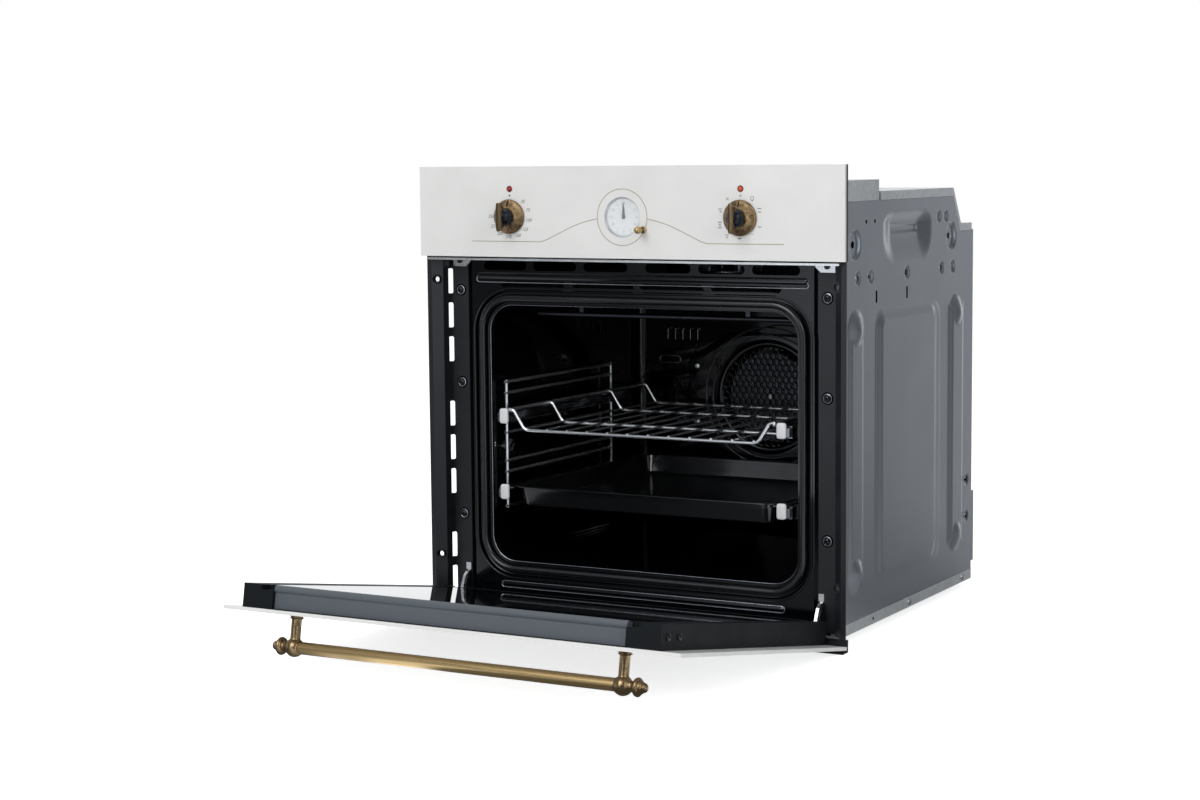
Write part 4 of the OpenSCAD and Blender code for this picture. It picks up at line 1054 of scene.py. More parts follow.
@dataclass
class ControlPanel:
    """White glass panel: its printed line, marks and lamp rings."""

    shop: Workshop
    print_y: float = PANEL_Y - 0.07
    line_w: float = 0.9
    ring_r: float = 34.9
    line_z: float = 478.8
    mark_r: float = 28.0
    mark_squash: float = 0.93
    first_mark: float = 43.0
    mark_step: float = 28.4
    lamp_up: float = 35.0

    def build(self) -> None:
        """Adds every printed mark to the panel, and a ring round each lamp."""
        self.shop.piece("panel_gold_line", self._gold(), Look.GOLD_PRINT, "control_panel")
        self.shop.piece("panel_symbols", self._symbols(), Look.GREY_PRINT, "control_panel")
        profile = [(2.9, 0.4), (3.0, 0.9), (3.6, 0.9), (4.1, 0.3), (4.1, 0.02)]
        ring = lathe(profile, (KNOB_X, PANEL_Y, KNOB_Z + self.lamp_up), Axis.MINUS_Y, 32)
        self.shop.piece("lamp_rings", ring.pair(), Look.LENS_RING, "red_lamp", closed=False)
        marks = [self._number(i) for i in range(9)]
        self.shop.words("panel_numbers", marks, 5.8, PANEL_Y, Look.GREY_PRINT, "control_panel", 0.35)

    def _number(self, i: int) -> tuple[str, float, float]:
        """Text, X and Z of a temperature mark: 50 to 250 in steps of 25, clockwise round the left knob.

        The marks lie on a circle that is squashed in Z.

        Args:
            i: Number of the mark, from 0.

        Returns:
            The text, X and Z of the mark's middle.
        """
        angle = math.radians(self.first_mark + self.mark_step * i)
        up = self.mark_r * self.mark_squash * math.cos(angle)
        return str(50 + 25 * i), -KNOB_X + self.mark_r * math.sin(angle), KNOB_Z + up

    def _gold(self) -> list[Sheet]:
        """The line that swings up to the ring round the clock, and the ring.

        Returns:
            The two swings and the ring.
        """
        half = [(-219, 0), (-160, 0), (-125, 0), (-117, 0.15), (-107, 3.2), (-90, 10.9), (-67, 20.9),
                (-50, 26.1), (-35.2, 29.3)]
        left = curve_through(np.array(half) + [0, self.line_z], 10)
        swings = [ribbon(line, self.line_w, self.print_y, PRINT_DEEP) for line in (left, left * [-1, 1])]
        return [*swings, self._ring(0, KNOB_Z, self.ring_r, self.line_w, 96)]

    def _bar(self, x: float, z: float, width: float, thick: float = 0.85) -> Sheet:
        """A short level stroke."""
        return stroke(x - width / 2, z, x + width / 2, z, thick, self.print_y)

    def _ring(self, x: float, z: float, r: float, thick: float = 0.5, points: int = 24) -> Sheet:
        """A circle drawn as a stroke."""
        c, s = circle(points)
        return ribbon(np.stack([x + r * c, z + r * s], -1), thick, self.print_y, PRINT_DEEP, True)

    def _fan(self, x: float, z: float, r: float) -> list[Sheet]:
        """A crossed pair of strokes that stands for a fan."""
        a = r * 0.75
        return [stroke(x - a, z - s * a, x + a, z + s * a, 0.5, self.print_y) for s in (1, -1)]

    def _symbols(self) -> list[Sheet]:
        """The off mark at the left knob, and the plain signs of the heating functions at the right one.

        Returns:
            All the strokes and spots.
        """
        x, z = KNOB_X, KNOB_Z
        off = (-x, self.print_y + PRINT_DEEP, z + 26.6)
        rings = [self._ring(x + a, z + b, r) for a, b, r in ((0, 26.6, 1.2), (15.4, 23.6, 2.2))]
        bars = [self._bar(x + a, z + b, *size) for a, b, *size in (
            (15.4, 20.6, 2), (25.2, 11.3, 4.6), (25.2, 7.2, 4.6), (25.2, -10.7, 4.6), (15.4, -19.6, 4, 0.35),
            (-1.2, -24.9, 4.4, 1.2), (-18, -20.6, 4.6, 0.8), (-27.6, -5.4, 4.8), (-27.6, -12, 4.8),
            (-27.2, 10.6, 4.8))]
        places = ((-18, -23.4, 1.8), (-27.6, -8.7, 1.9), (-26.6, 7.6, 1.6), (-17.4, 22.8, 2.1))
        fans = [part for a, b, r in places for part in self._fan(x + a, z + b, r)]
        return [spot(1.2, PRINT_DEEP, off, Axis.MINUS_Y), *rings, *bars, *fans]


@dataclass
class Knob:
    """Bronze rotary knob: ridged disc, waisted grip and a dark dome on each side of the grip."""

    shop: Workshop
    name: str
    x: float
    body: Body
    disc_r: float = 21.8
    dome_r: float = 11.7
    dome_out: float = 15.0

    def build(self) -> None:
        """Makes the disc, the grip, the dome and the pointer."""
        at, r, cap = (self.x, PANEL_Y, KNOB_Z), self.disc_r, self.name + "_cap"
        profile = [(0, 0.6), (r - 0.8, 0.6), (r - 0.2, 1), (r, 1.8), (r, 3.2), (r - 0.5, 4.1), (r - 1.6, 4.7),
                   (18, 5.9), (15, 7.6), (13.4, 9), (12.9, 9.8), (12.3, 10), (0, 10)]
        turned = lathe(profile, at, Axis.MINUS_Y, 96)
        self.shop.piece(self.name + "_disc", turned, Look.BRONZE, self.name, (self.name,), self.body, 40)
        self.shop.piece(self.name + "_grip", self._grip(), Look.GRIP_BRONZE, self.name, (), self.body, 50)
        arc = [(self.dome_r * math.cos(t), self.dome_out + self.dome_r * math.sin(t))
               for t in np.linspace(-0.43 * np.pi, np.pi / 2, 22)]
        dome = lathe(arc, at, Axis.MINUS_Y, 64)
        self.shop.piece(self.name + "_dome", dome, Look.BLACK_GLOSS, cap, (cap,), self.body, 60)
        slope = np.array([[0.8, -5.2, 19.2], [0.2, -8.6, 14.2]]) + at
        pointer = tube(slope, 0.75, (1, 0, 0), 8)
        self.shop.piece(self.name + "_pointer", pointer, Look.HOLE, self.name, (), self.body)

    def _grip(self) -> Sheet:
        """The grip: rings |x/a|^5 + |z/b|^5 = 1 stacked outwards, each row as distance out, a and b.

        X and Z are a and b times the sign of cos t and sin t times their size to the power 0.4.

        Returns:
            The closed grip.
        """
        rows = np.array([
            [8.0, 3.0, 10.6], [12.0, 3.0, 11.0], [17.0, 3.1, 11.8], [21.5, 3.3, 14.2], [25.0, 3.5, 17.0],
            [27.2, 3.55, 18.0], [28.7, 3.4, 18.0], [29.3, 2.9, 17.5], [29.5, 2.2, 16.8], [29.5, 0, 0]])
        out, a, b = rows.T[..., None]
        x, z = (np.sign(v) * np.abs(v) ** 0.4 for v in circle(64))
        points = np.stack([self.x + a * x, PANEL_Y - out + 0 * x, KNOB_Z + b * z], -1)
        first = points[:1] * 0 + [self.x, PANEL_Y - rows[0, 0], KNOB_Z]
        quads = grid_quads(len(rows) + 1, 64, wrap_cols=True)
        return Sheet(np.concatenate([first, points]).reshape(-1, 3), quads)


@dataclass
class Clock:
    """Round clock: minute marks and numbers on the dial, and the brass setting knob."""

    shop: Workshop
    dial_y: float = -6.0
    tick_r: float = 22.6
    number_r: float = 17.3
    set_x: float = 30.0
    set_z: float = 494.9
    groove_r: float = 3.1
    groove_half: float = 0.35

    def build(self) -> None:
        """Prints the dial and turns the setting knob."""
        ticks = [self._tick(minute) for minute in range(60)]
        self.shop.piece("dial_marks", ticks, Look.DIAL_PRINT, "clock_dial")
        numbers = [(str(hour), *self._at(5 * hour, self.number_r)) for hour in range(1, 13)]
        self.shop.words("dial_numbers", numbers, 4.4, self.dial_y, Look.DIAL_PRINT, "clock_dial", 0.1)
        profile = [(0, -6), (1.5, -6), (1.5, 0.5), (3.9, 0.6), (4.3, 1.0), (4.3, 2.6), (3.6, 3.2), (3.0, 4.2),
                   (2.9, 7.5), (3.3, 9), (4.1, 10.6), (4.4, 12.5), (4.4, 16), (4.0, 18.2), (3.0, 19.7),
                   (1.4, 20.4), (0, 20.5)]
        knob = lathe(profile, (self.set_x, PANEL_Y, self.set_z), Axis.MINUS_Y, 32, 3)
        self.shop.piece("set_knob", knob, Look.BRASS, "clock_set_knob", ("clock_set_knob",), Body.SET_KNOB)
        grooves = [self._groove(a) for a in np.arange(14) * np.pi / 7]
        self.shop.piece("set_knob_grooves", grooves, Look.HOLE, "clock_set_knob", (), Body.SET_KNOB)

    def _at(self, minute: float, r: float) -> tuple[float, float]:
        """X and Z of a minute's place on a circle round the dial's middle."""
        angle = minute * math.pi / 30
        return r * math.sin(angle), KNOB_Z + r * math.cos(angle)

    def _tick(self, minute: int) -> Sheet:
        """The mark of a minute, longer and wider at every fifth.

        Args:
            minute: The minute, from 0.

        Returns:
            The stroke.
        """
        inner, width = (21.6, 0.3) if minute % 5 else (20.4, 0.6)
        ends = (*self._at(minute, inner), *self._at(minute, self.tick_r))
        return stroke(*ends, width, self.dial_y - 0.06)

    def _groove(self, angle: float) -> Sheet:
        """A dark bar along the waist of the setting knob.

        Args:
            angle: Angle round the knob's axis, in radians.

        Returns:
            The bar.
        """
        x = self.set_x + self.groove_r * math.cos(angle)
        z = self.set_z + self.groove_r * math.sin(angle)
        b = self.groove_half
        return block(x - b, x + b, PANEL_Y - 9.5, PANEL_Y - 3.4, z - b, z + b, 0.1)


@dataclass
class Handle:
    """Brass towel-rail handle: bar, two turned posts and the balls that join them."""

    shop: Workshop
    x: float = 215.0
    z: float = 421.0
    out: float = 38.0
    bar_r: float = 7.3
    ball_r: float = 11.2

    def build(self) -> None:
        """Makes the bar, the posts and the end ornaments."""
        bar_y = PANEL_Y - self.out
        half = self.x - 4
        profile = [(0, -half), (self.bar_r, -half), (self.bar_r, half), (0, half)]
        bar = lathe(profile, (0, bar_y, self.z), Axis.X, 64).door()
        self.shop.piece("handle_rail", bar, Look.BRASS, "handle_bar", ("handle_bar",), Body.DOOR)
        post = lathe(
            [(0, -7.5), (2.9, -7.5), (2.9, 0.02), (7.6, 0.05), (8.6, 0.3), (8.9, 0.9), (8.8, 1.7), (8.0, 2.3),
             (7.2, 2.6), (7.1, 3.1), (7.9, 3.5), (8.0, 4.2), (7.3, 4.9), (6.2, 5.5), (5.9, 6.4), (5.9, 16),
             (5.9, 27), (6.2, 28.5), (6.6, 30), (0, 32)],
            (self.x, PANEL_Y, self.z), Axis.MINUS_Y)
        r = self.ball_r
        arc = [(r * math.cos(t), r * math.sin(t)) for t in np.linspace(-0.84, 0.93, 16)]
        end = lathe(
            [(0, -6.5), (7.35, -6.6), (8.0, -8.0), (8.2, -8.2), *arc, (6.5, 9.3), (6.25, 10.5), (6.2, 13.0),
             (6.5, 14.0), (8.2, 14.6), (9.7, 15.8), (10.4, 17.3), (10.6, 18.4), (10.3, 19.5), (9.3, 20.4),
             (8.0, 20.9), (7.7, 21.6), (7.7, 22.4), (7.0, 23.4), (5.6, 24.3), (5.2, 25.0), (5.4, 25.8),
             (5.0, 27.4), (3.6, 28.9), (1.8, 29.5), (0, 29.6)],
            (self.x, bar_y, self.z), Axis.X)
        turnings = Sheet.joined([post, end]).pair().door()
        self.shop.piece("handle_turnings", turnings, Look.POST_BRASS, "handle_posts", ("handle_posts",),
                        Body.DOOR, 38)


@dataclass
class FrontFrame:
    """Front plate dressing: the opening's rolled edges and seal, hinge cheeks, painted shade round the vent
    slots and frame screws.
    """

    shop: Workshop
    open_x: float = 219.0
    low: float = 59.0
    high: float = 395.0
    corner: float = 34.0
    face_y: float = 26.0
    step_y: float = 31.0
    hinge_x: float = 253.0
    screw_x: float = 260.0
    screw_z: tuple[float, ...] = (118.5, 292.5, 413.5)
    beads: tuple[tuple[float, float], ...] = ((29, 199), (8, 199), (428.5, 231))
    bead_r: float = 4.1
    long_slots: tuple[tuple[float, float], ...] = (
        (-197.0, -104.5), (-92.0, -3.5), (7.0, 94.5), (107.0, 196.0))
    slot_z: float = 419.0
    # Half height of the painted shade round each long slot.
    lip_r: float = 4.7

    def build(self) -> None:
        """Makes the opening's edges and seal, the hinge cheeks, the screws and the painted shade round the
        long slots.
        """
        self._opening()
        self._hinge_plates()
        self._screws()
        self._vent_lips()

    def _swept(self, profile: Array) -> Sheet:
        """A profile carried round the opening."""
        return frame_sweep(self.open_x, self.low, self.high, self.corner, profile, 14)

    def _wire(self, out: float, y: float, r: float, points: int) -> Sheet:
        """A round wire carried round the opening."""
        t = np.linspace(0, 2 * np.pi, points)
        return self._swept(np.stack([out + r * np.cos(t), y + r * np.sin(t)], -1))

    def _opening(self) -> None:
        """The rolled step and nose of the opening, fine painted highlight lines on the plate's edges, and the
        seal.
        """
        f, s = self.face_y, self.step_y
        step = [[24.0, f - 0.25], [21.6, f - 0.25], [20.2, f + 0.1], [19.2, f + 1.3], [18.4, f + 3.2],
                [17.2, s - 0.45], [15.2, s - 0.15], [12.5, s - 0.12]]
        nose = [[6.0, s - 0.12], [3.4, s - 0.15], [1.6, s + 0.15], [0.3, s + 1.2], [-0.25, s + 3],
                [-0.3, s + 6], [0.4, s + 9], [1.75, s + 12.5]]
        for name, line in (("opening_step", step), ("opening_nose", nose)):
            ring = self._swept(curve_through(np.array(line), 4))
            self.shop.piece(name, ring, Look.PLATE_ENAMEL, "front_plate", crease=80, closed=False)
        # The edge wire and the bead rims are pale metal: painted highlights on rounded edges.
        edges = [self._wire(0.2, s + 1.0, 0.7, 13), *(self._bead_edge(*bead) for bead in self.beads)]
        self.shop.piece("plate_edge_lights", edges, Look.EDGE_ENAMEL, "front_plate", crease=80)
        seal = self._wire(9, s - 4.4, 4.4, 25)
        self.shop.piece("seal_tube", seal, Look.RUBBER, "door_gasket", ("door_gasket",), crease=80)

    def _bead_edge(self, z: float, half_x: float) -> Sheet:
        """The fine ridge round the foot of a pressed bead.

        Args:
            z: Height of the bead's middle.
            half_x: Half of its length between the round ends.

        Returns:
            The closed wire.
        """
        r = self.bead_r
        outline, _ = loop(half_x + r, z - r, z + r, r - 0.05, 10)
        return tube(np.insert(outline, 1, self.face_y - 0.1, axis=1), 0.55, (0, 1, 0), 8, closed=True)

    def _at_screws(self, profile: list[tuple[float, float]]) -> Sheet:
        """A turned form at every frame screw."""
        turned = [lathe(profile, (self.screw_x, self.face_y, z), Axis.MINUS_Y, 32) for z in self.screw_z]
        return Sheet.joined(turned).pair()

    def _screws(self) -> None:
        """The frame screws: heads, rings of painted shadow, rims of painted highlight, and crosses of painted
        shade.
        """
        head = [(5.6, 0.05), (5.6, 0.7), (4.6, 0.9), (4.2, 1.1), (4.1, 2.2), (3.4, 3.1), (2.0, 3.6),
                (1.1, 3.6), (0.7, 2.6), (0, 2.4)]
        shadow = [(6.2, 0.02), (6.3, 0.25), (7.5, 0.25), (7.8, 0.02)]
        # rim: a pale ring that paints the highlight on each head's edge.
        rim = [(5.0, 0.8), (5.3, 1.0), (5.8, 0.9), (6.0, 0.05)]
        x, y, node = self.screw_x, self.face_y, "casing_screws"
        # The crosses are dark bars of painted shade on the heads.
        slots = Sheet.joined([block(x - a, x + a, y - 3.75, y - 2.6, z - b, z + b, 0.1)
                              for z in self.screw_z for a, b in ((1.9, 0.4), (0.4, 1.9))]).pair()
        self.shop.piece("frame_screw_heads", self._at_screws(head), Look.SCREW, node)
        self.shop.piece("frame_screw_shadows", self._at_screws(shadow), Look.HOLE, node, closed=False)
        self.shop.piece("frame_screw_highlight_rims", self._at_screws(rim), Look.EDGE_ENAMEL, node, closed=False)
        self.shop.piece("frame_screw_slots", slots, Look.HOLE, node)

    def _vent_lips(self) -> None:
        """Painted shade round the four long slots under the upper bead: dark stadiums wider than the slots.
        """
        y, z, r = self.face_y, self.slot_z, self.lip_r
        shade_parts = []
        for x0, x1 in self.long_slots:
            shade_parts.append(stroke(x0 + r, z, x1 - r, z, 2 * r, y - 0.12))
            shade_parts += [spot(r, PRINT_DEEP, (x, y - 0.02, z), Axis.MINUS_Y) for x in (x0 + r, x1 - r)]
        self.shop.piece("vent_lips", shade_parts, Look.HOLE, "front_plate")

    def _hinge_plates(self) -> None:
        """Cheek plates on both sides of each hinge arm, in black paint that paints the dark reflection of the
        steel channel, with a bright rivet in each.
        """
        outline = np.array([
            (8.4, 9.0), (7.6, 15.0), (10.4, 26.0), (13.2, 33.0), (17.0, 37.6), (21.0, 40.6), (25.4, 41.4),
            (25.7, 38.0), (25.7, 30.0), (25.7, 20.0), (25.7, 11.0), (17.0, 9.0)])
        middle = np.tile(outline.mean(0), (len(outline), 1))
        cheeks, rivets = [], []
        for side in (-1, 1):
            x0, x1 = self.hinge_x + side * 2.05, self.hinge_x + side * 3.3
            rings = [np.insert(ring, 0, x, axis=1)
                     for x, ring in ((x0, middle), (x0, outline), (x1, outline), (x1, middle))]
            cheeks.append(Sheet(np.concatenate(rings), grid_quads(4, len(outline), wrap_cols=True)))
            for y, z in ((15.0, 33.5), (14.0, 16.0)):
                head = lathe([(2.1, 0), (2.0, 0.5), (1.2, 0.9), (0, 1.0)], (0, y, z), Axis.X, 16)
                rivets.append(Sheet(head.points * [side, 1, 1] + [x1, 0, 0], head.quads))
        # The black cheeks are a painted dark reflection of the steel hinge channel.
        self.shop.piece("hinge_cheeks", Sheet.joined(cheeks).pair(), Look.BLACK_PAINT, "hinge_arms")
        self.shop.piece("hinge_rivets", Sheet.joined(rivets).pair(), Look.SCREW, "hinge_arms")


@dataclass
class Cavity:
    """Enamelled cavity: rounded walls, pressed marks, and the fan cover with its holes and rings."""

    shop: Workshop
    half_x: float = 221.0
    low: float = 58.0
    high: float = 396.0
    front: float = 34.0
    back: float = 443.2
    fan_z: float = 246.0
    cover_half: tuple[float, float] = (127.0, 88.0)
    cover_cut: tuple[float, float] = (63.0, 38.0)
    cover_deep: float = 24.0
    hole_r: float = 70.6
    bead_r: float = 82.0
    cell_pitch: float = 9.4

    def build(self) -> None:
        """Makes the wall skin, the fan cover and the small pressings."""
        self._skin()
        self._fan_cover()
        self._pressings()

    def _skin(self) -> None:
        """The walls, just inside the CAD's, with a rounded edge where they meet the back."""
        gap, bend = 0.35, 14.0
        depth = np.concatenate([[self.front + 3], np.linspace(self.front + 10, self.back - bend, 8)])
        turn = np.linspace(0, np.pi / 2, 8)
        walls = np.stack([np.full(len(depth), -gap), depth], -1)
        edge = np.stack([-gap - bend * (1 - np.cos(turn)), self.back - gap - bend + bend * np.sin(turn)], -1)
        skin = frame_sweep(self.half_x, self.low, self.high, 12.0, np.concatenate([walls, edge]), 8)
        self.shop.piece("cavity_skin", skin.flipped(), Look.ENAMEL, "cavity_liner", crease=60, closed=False)

    def _fan_cover(self) -> None:
        """The octagonal cover, its turned rings in painted highlight, and the sieve in its round hole."""
        face, node = self.back - self.cover_deep, "fan_baffle"
        arcs = [lathe([(r - 1.0, 0), (r - 0.7, 0.9), (r, 1.3), (r + 0.7, 0.9), (r + 1.0, 0)],
                      (0, face - 0.2, self.fan_z), Axis.MINUS_Y, 96) for r in (87, 98)]
        cover, sieve = self._cover(face).flipped(), self._sieve(face).flipped()
        self.shop.piece("fan_cover", cover, Look.COVER_ENAMEL, node, (node,), crease=50, closed=False)
        self.shop.piece("fan_cover_rings", arcs, Look.EDGE_ENAMEL, node, crease=50, closed=False)
        self.shop.piece("fan_sieve", sieve, Look.COVER_ENAMEL, node, crease=50, closed=False)

    def _cover(self, face: float) -> Sheet:
        """The cover as lofted rings: from the hole over a bead to the octagon's rim, and back to the wall.

        The rim's distance at angle t is the least of w / |cos t|, h / |sin t| and the slanted edge's.

        Args:
            face: Y of the cover's flat face.

        Returns:
            The open cover.
        """
        n = 96
        c, s = circle(n)
        (w, h), (cut_w, cut_h) = self.cover_half, self.cover_cut
        slant = cut_w / cut_h
        reach = np.minimum.reduce([w / np.maximum(np.abs(c), 1e-9), h / np.maximum(np.abs(s), 1e-9),
                                   (w - cut_w + h * slant) / (np.abs(c) + np.abs(s) * slant)])
        way = np.stack([c, s], -1)
        rim = way * reach[:, None]
        rings = [(way * r, face - lift) for r, lift in (
            (self.hole_r, 0.6), (73, 2.2), (75, 2.8), (77, 2.2), (79.5, 0.6), (self.bead_r, 0.3))]
        for share, drop in ((0.25, 0.3), (0.6, 0.3), (0.9, 0.4), (0.965, 0.9), (0.99, 2.2), (1.0, 4.5)):
            outline = way * self.bead_r * (1 - share) + (rim + np.sign(rim) * 0.4) * share
            rings.append((outline, face + drop - 0.6))
        rings.append((rim + np.sign(rim) * 0.5, self.back - 2))
        points = np.concatenate([np.insert(outline, 1, y, axis=1) for outline, y in rings])
        return Sheet(points + [0, 0, self.fan_z], grid_quads(len(rings), n, wrap_cols=True))

    def _sieve(self, face: float) -> Sheet:
        """Six-sided cells that fill the hole, each sinking to a smaller opening of the same shape.

        The middles lie on a grid of triangles; each outline is half the pitch over the cosine of the angle
        to its nearest flat side.

        Args:
            face: Y of the cover's flat face.

        Returns:
            All cells in one sheet.
        """
        pitch, n = self.cell_pitch, 12
        i, j = np.meshgrid(np.arange(-9, 10), np.arange(-10, 11), indexing="ij")
        x = ((i + (j % 2) / 2) * pitch).ravel()
        z = (j * pitch * math.sqrt(3) / 2).ravel()
        keep = np.hypot(x, z) < self.hole_r - 2.5
        middle = np.column_stack([x[keep], np.full(keep.sum(), face), z[keep] + self.fan_z])
        a = np.arange(n) * np.pi / 6
        cell_r = pitch / 2 / np.cos(((a + np.pi / 6) % (np.pi / 3)) - np.pi / 6)
        shape = np.stack([np.cos(a), np.sin(a)], -1) * cell_r[:, None]
        levels = ((1, -0.9), (0.93, -0.8), (0.84, 0.2), (0.8, 2.4))
        cell = np.concatenate([np.insert(shape * size, 1, deep, axis=1) for size, deep in levels])
        quads = grid_quads(len(levels), n, wrap_cols=True) + len(cell) * np.arange(len(middle))[:, None, None]
        return Sheet((middle[:, None] + cell).reshape(-1, 3), quads.reshape(-1, 4))

    def _louvres(self) -> list[Sheet]:
        """A small raised hood over the left edge and the top of each air slot in the back wall.

        Returns:
            The hoods.
        """
        y, low, high = self.back - 0.6, self.high - 75, self.high - 60
        hoods = []
        for x in range(-168, -119, 12):
            path = rounded_path([(x - 3.2, y, low), (x - 3.2, y, high + 1), (x + 2.4, y, high + 1)], 3.0, 6)
            hoods.append(tube(path, 0.8, (0, 1, 0), 8))
        return hoods

    def _pressings(self) -> None:
        """A raised oblong loop and louvre hoods on the back wall in painted highlight, and screws of the fan
        cover.
        """
        y = self.back - 0.4
        t = np.linspace(0, np.pi, 8)
        c, s = 5 * np.cos(t), 5 * np.sin(t)
        x = np.concatenate([[0, 24], 24 + s, [24, 0], -s]) - 180
        z = np.concatenate([[5, 5], c, [-5, -5], -c]) + 292
        path = np.column_stack([x, np.full(len(x), y), z])
        keep = np.r_[True, np.linalg.norm(np.diff(path, axis=0), axis=1) > 0.1]
        oblong = tube(path[keep][:-1], 0.9, (0, 1, 0), 8, closed=True)
        studs = [lathe([(4.4, 0), (4.2, 1.4), (3.2, 2.4), (0, 2.8)],
                       (x, self.back - self.cover_deep - 0.2, self.fan_z + h), Axis.MINUS_Y, 24)
                 for h in (40, -40) for x in (-112, 112)]
        raised = [oblong, *self._louvres()]
        self.shop.piece("back_wall_pressings", raised, Look.EDGE_ENAMEL, "cavity_liner", crease=50)
        self.shop.piece("fan_cover_screws", studs, Look.CHROME, "fan_baffle")


@dataclass
class Shelving:
    """Side racks, slides, wire shelf and tray, as smooth bent wire and pressed sheet."""

    shop: Workshop
    rack_x: float = 212.0
    wire_z: tuple[float, ...] = (127, 141.5, 172.7, 187.4, 224.6, 239, 277, 291.5)
    post_y: tuple[float, float] = (58.0, 343.0)
    slide_z: tuple[float, float] = (248.0, 148.5)
    seat_in: float = 186.15
    slide_y: tuple[float, float] = (28.5, 372.5)
    wall_x: float = 221.0
    nut_y: tuple[float, float] = (75.0, 320.0)
    nut_z: float = 206.0

    def build(self) -> None:
        """Makes the racks, the shelf and the tray."""
        self._side_racks()
        self._slides()
        self._shelf()
        self._tray()

    def _side_racks(self) -> None:
        """Two bent uprights joined by level wires, with a slotted nut at the wall."""
        x, (y0, y1), r, nut_z = self.rack_x, self.post_y, 2.2, self.nut_z
        parts = [tube(np.array([[x, y, self.wire_z[0] - r], [x, y, self.wire_z[-1] + r]]), r, (1, 0, 0))
                 for y in (y0, y1)]
        parts += [tube(np.array([[x, y0 - 3, z], [x, y1 + 3, z]]), 2.18, (1, 0, 0)) for z in self.wire_z]
        parts += [tube(np.array([[x, y, nut_z], [self.wall_x, y, nut_z]]), r, (0, 0, 1)) for y in (y0, y1)]
        parts += [tube(np.array([[218, a, nut_z], [218, b, nut_z]]), 1.6, (0, 0, 1))
                  for a, b in ((y0, self.nut_y[0]), (self.nut_y[1], y1))]
        parts += [lathe([(0, 0), (7.6, 0), (8, 0.5), (8, 4.4), (7.4, 5), (2.2, 5), (2, 4.2), (0, 4.2)],
                        (self.wall_x, y, nut_z), Axis.MINUS_X, 32) for y in self.nut_y]
        right = Sheet.joined(parts)
        # Dark bars that paint the shade in each nut's slot.
        cross = block(214.8, 216.08, -6.2, 6.2, -0.9, 0.9, 0.1).rolled(math.radians(50))
        slots = Sheet.joined([cross.moved(0, y, nut_z) for y in self.nut_y]).pair()
        self.shop.piece("rack_nut_slots", slots, Look.HOLE, "right_side_rack")
        for name, rack, node in (("rack_right", right, "right_side_rack"),
                                 ("rack_left", right.mirror(), "left_side_rack")):
            self.shop.piece(name, rack, Look.CHROME, node, (node,))

    def _slides(self) -> None:
        """Each runner as bar, web and ledge in dark steel, with a rounded pale tab at its front end."""
        (y0, y1), web_x = self.slide_y, 201.65
        bodies = (Body.UPPER_SHELF, Body.LOWER_SHELF)
        sections = ((web_x, 208.25, -6, 6, 0.5), (199.85, web_x + 0.05, -6, 8.7, 0.3),
                    (self.seat_in, web_x, 6.9, 8.7, 0.3))
        for name, body, z in zip(("upper", "lower"), bodies, self.slide_z):
            bars = [block(a, b, y0, y1, z + low, z + high, edge) for a, b, low, high, edge in sections]
            node, tab = name + "_slide_runners", self._tab(198.0, z + 2.0)
            self.shop.piece(name + "_runners", Sheet.joined(bars).pair(), Look.RUNNER, node, (node,), body)
            self.shop.piece(name + "_runner_tabs", tab.pair(), Look.TAB, node, (), body, 50)

    def _tab(self, x: float, z: float) -> Sheet:
        """A rounded plate with a slightly domed front, closed at both faces.

        Args:
            x: X of the tab's middle.
            z: Its Z.

        Returns:
            The closed tab.
        """
        rows, (half, tall, corner) = [], (6.3, 9.9, 3.4)
        for y, grow in ((26.5, -6.0), (26.55, -1.2), (27.0, -0.3), (27.6, 0.0), (29.0, 0.0), (29.0, -6.0)):
            outline, _ = loop(half + grow, -tall - grow, tall + grow, max(0.2, corner + grow), 6)
            rows.append(np.insert(outline + [x, z], 1, y, axis=1))
        rows = [0 * rows[0] + rows[0].mean(0), *rows, 0 * rows[-1] + rows[-1].mean(0)]
        return Sheet(np.concatenate(rows), grid_quads(len(rows), len(rows[0]), wrap_cols=True))

    def _shelf(self) -> None:
        """Two level side rails, four cross rails that dip between them, and twelve thin wires."""
        x1, x2, rest, low = 188.55, 168.15, 258.95, 232.95
        parts = [tube(np.array([[x, 26.0, rest], [x, 396.5, rest]]), 2.2, (0, 0, 1)) for x in (-x1, x1)]
        for y in (27.5, 127, 291, 395):
            path = rounded_path([
                (-x1, y, rest), (-x1 + 6, y, rest - 0.5), (-x2 + 2, y, low), (x2 - 2, y, low),
                (x1 - 6, y, rest - 0.5), (x1, y, rest)], 7.0, 8)
            parts.append(tube(path, 2.18, (0, 1, 0), 14))
        xs = (np.arange(12) - 5.5) * 29.4
        parts += [tube(np.array([[x, 25.9, low + 2.2], [x, 397, low + 2.2]]), 1.4, (0, 0, 1), 10)
                  for x in xs]
        self.shop.piece("shelf_wires", parts, Look.CHROME, "wire_rack", ("wire_rack",), Body.UPPER_SHELF)

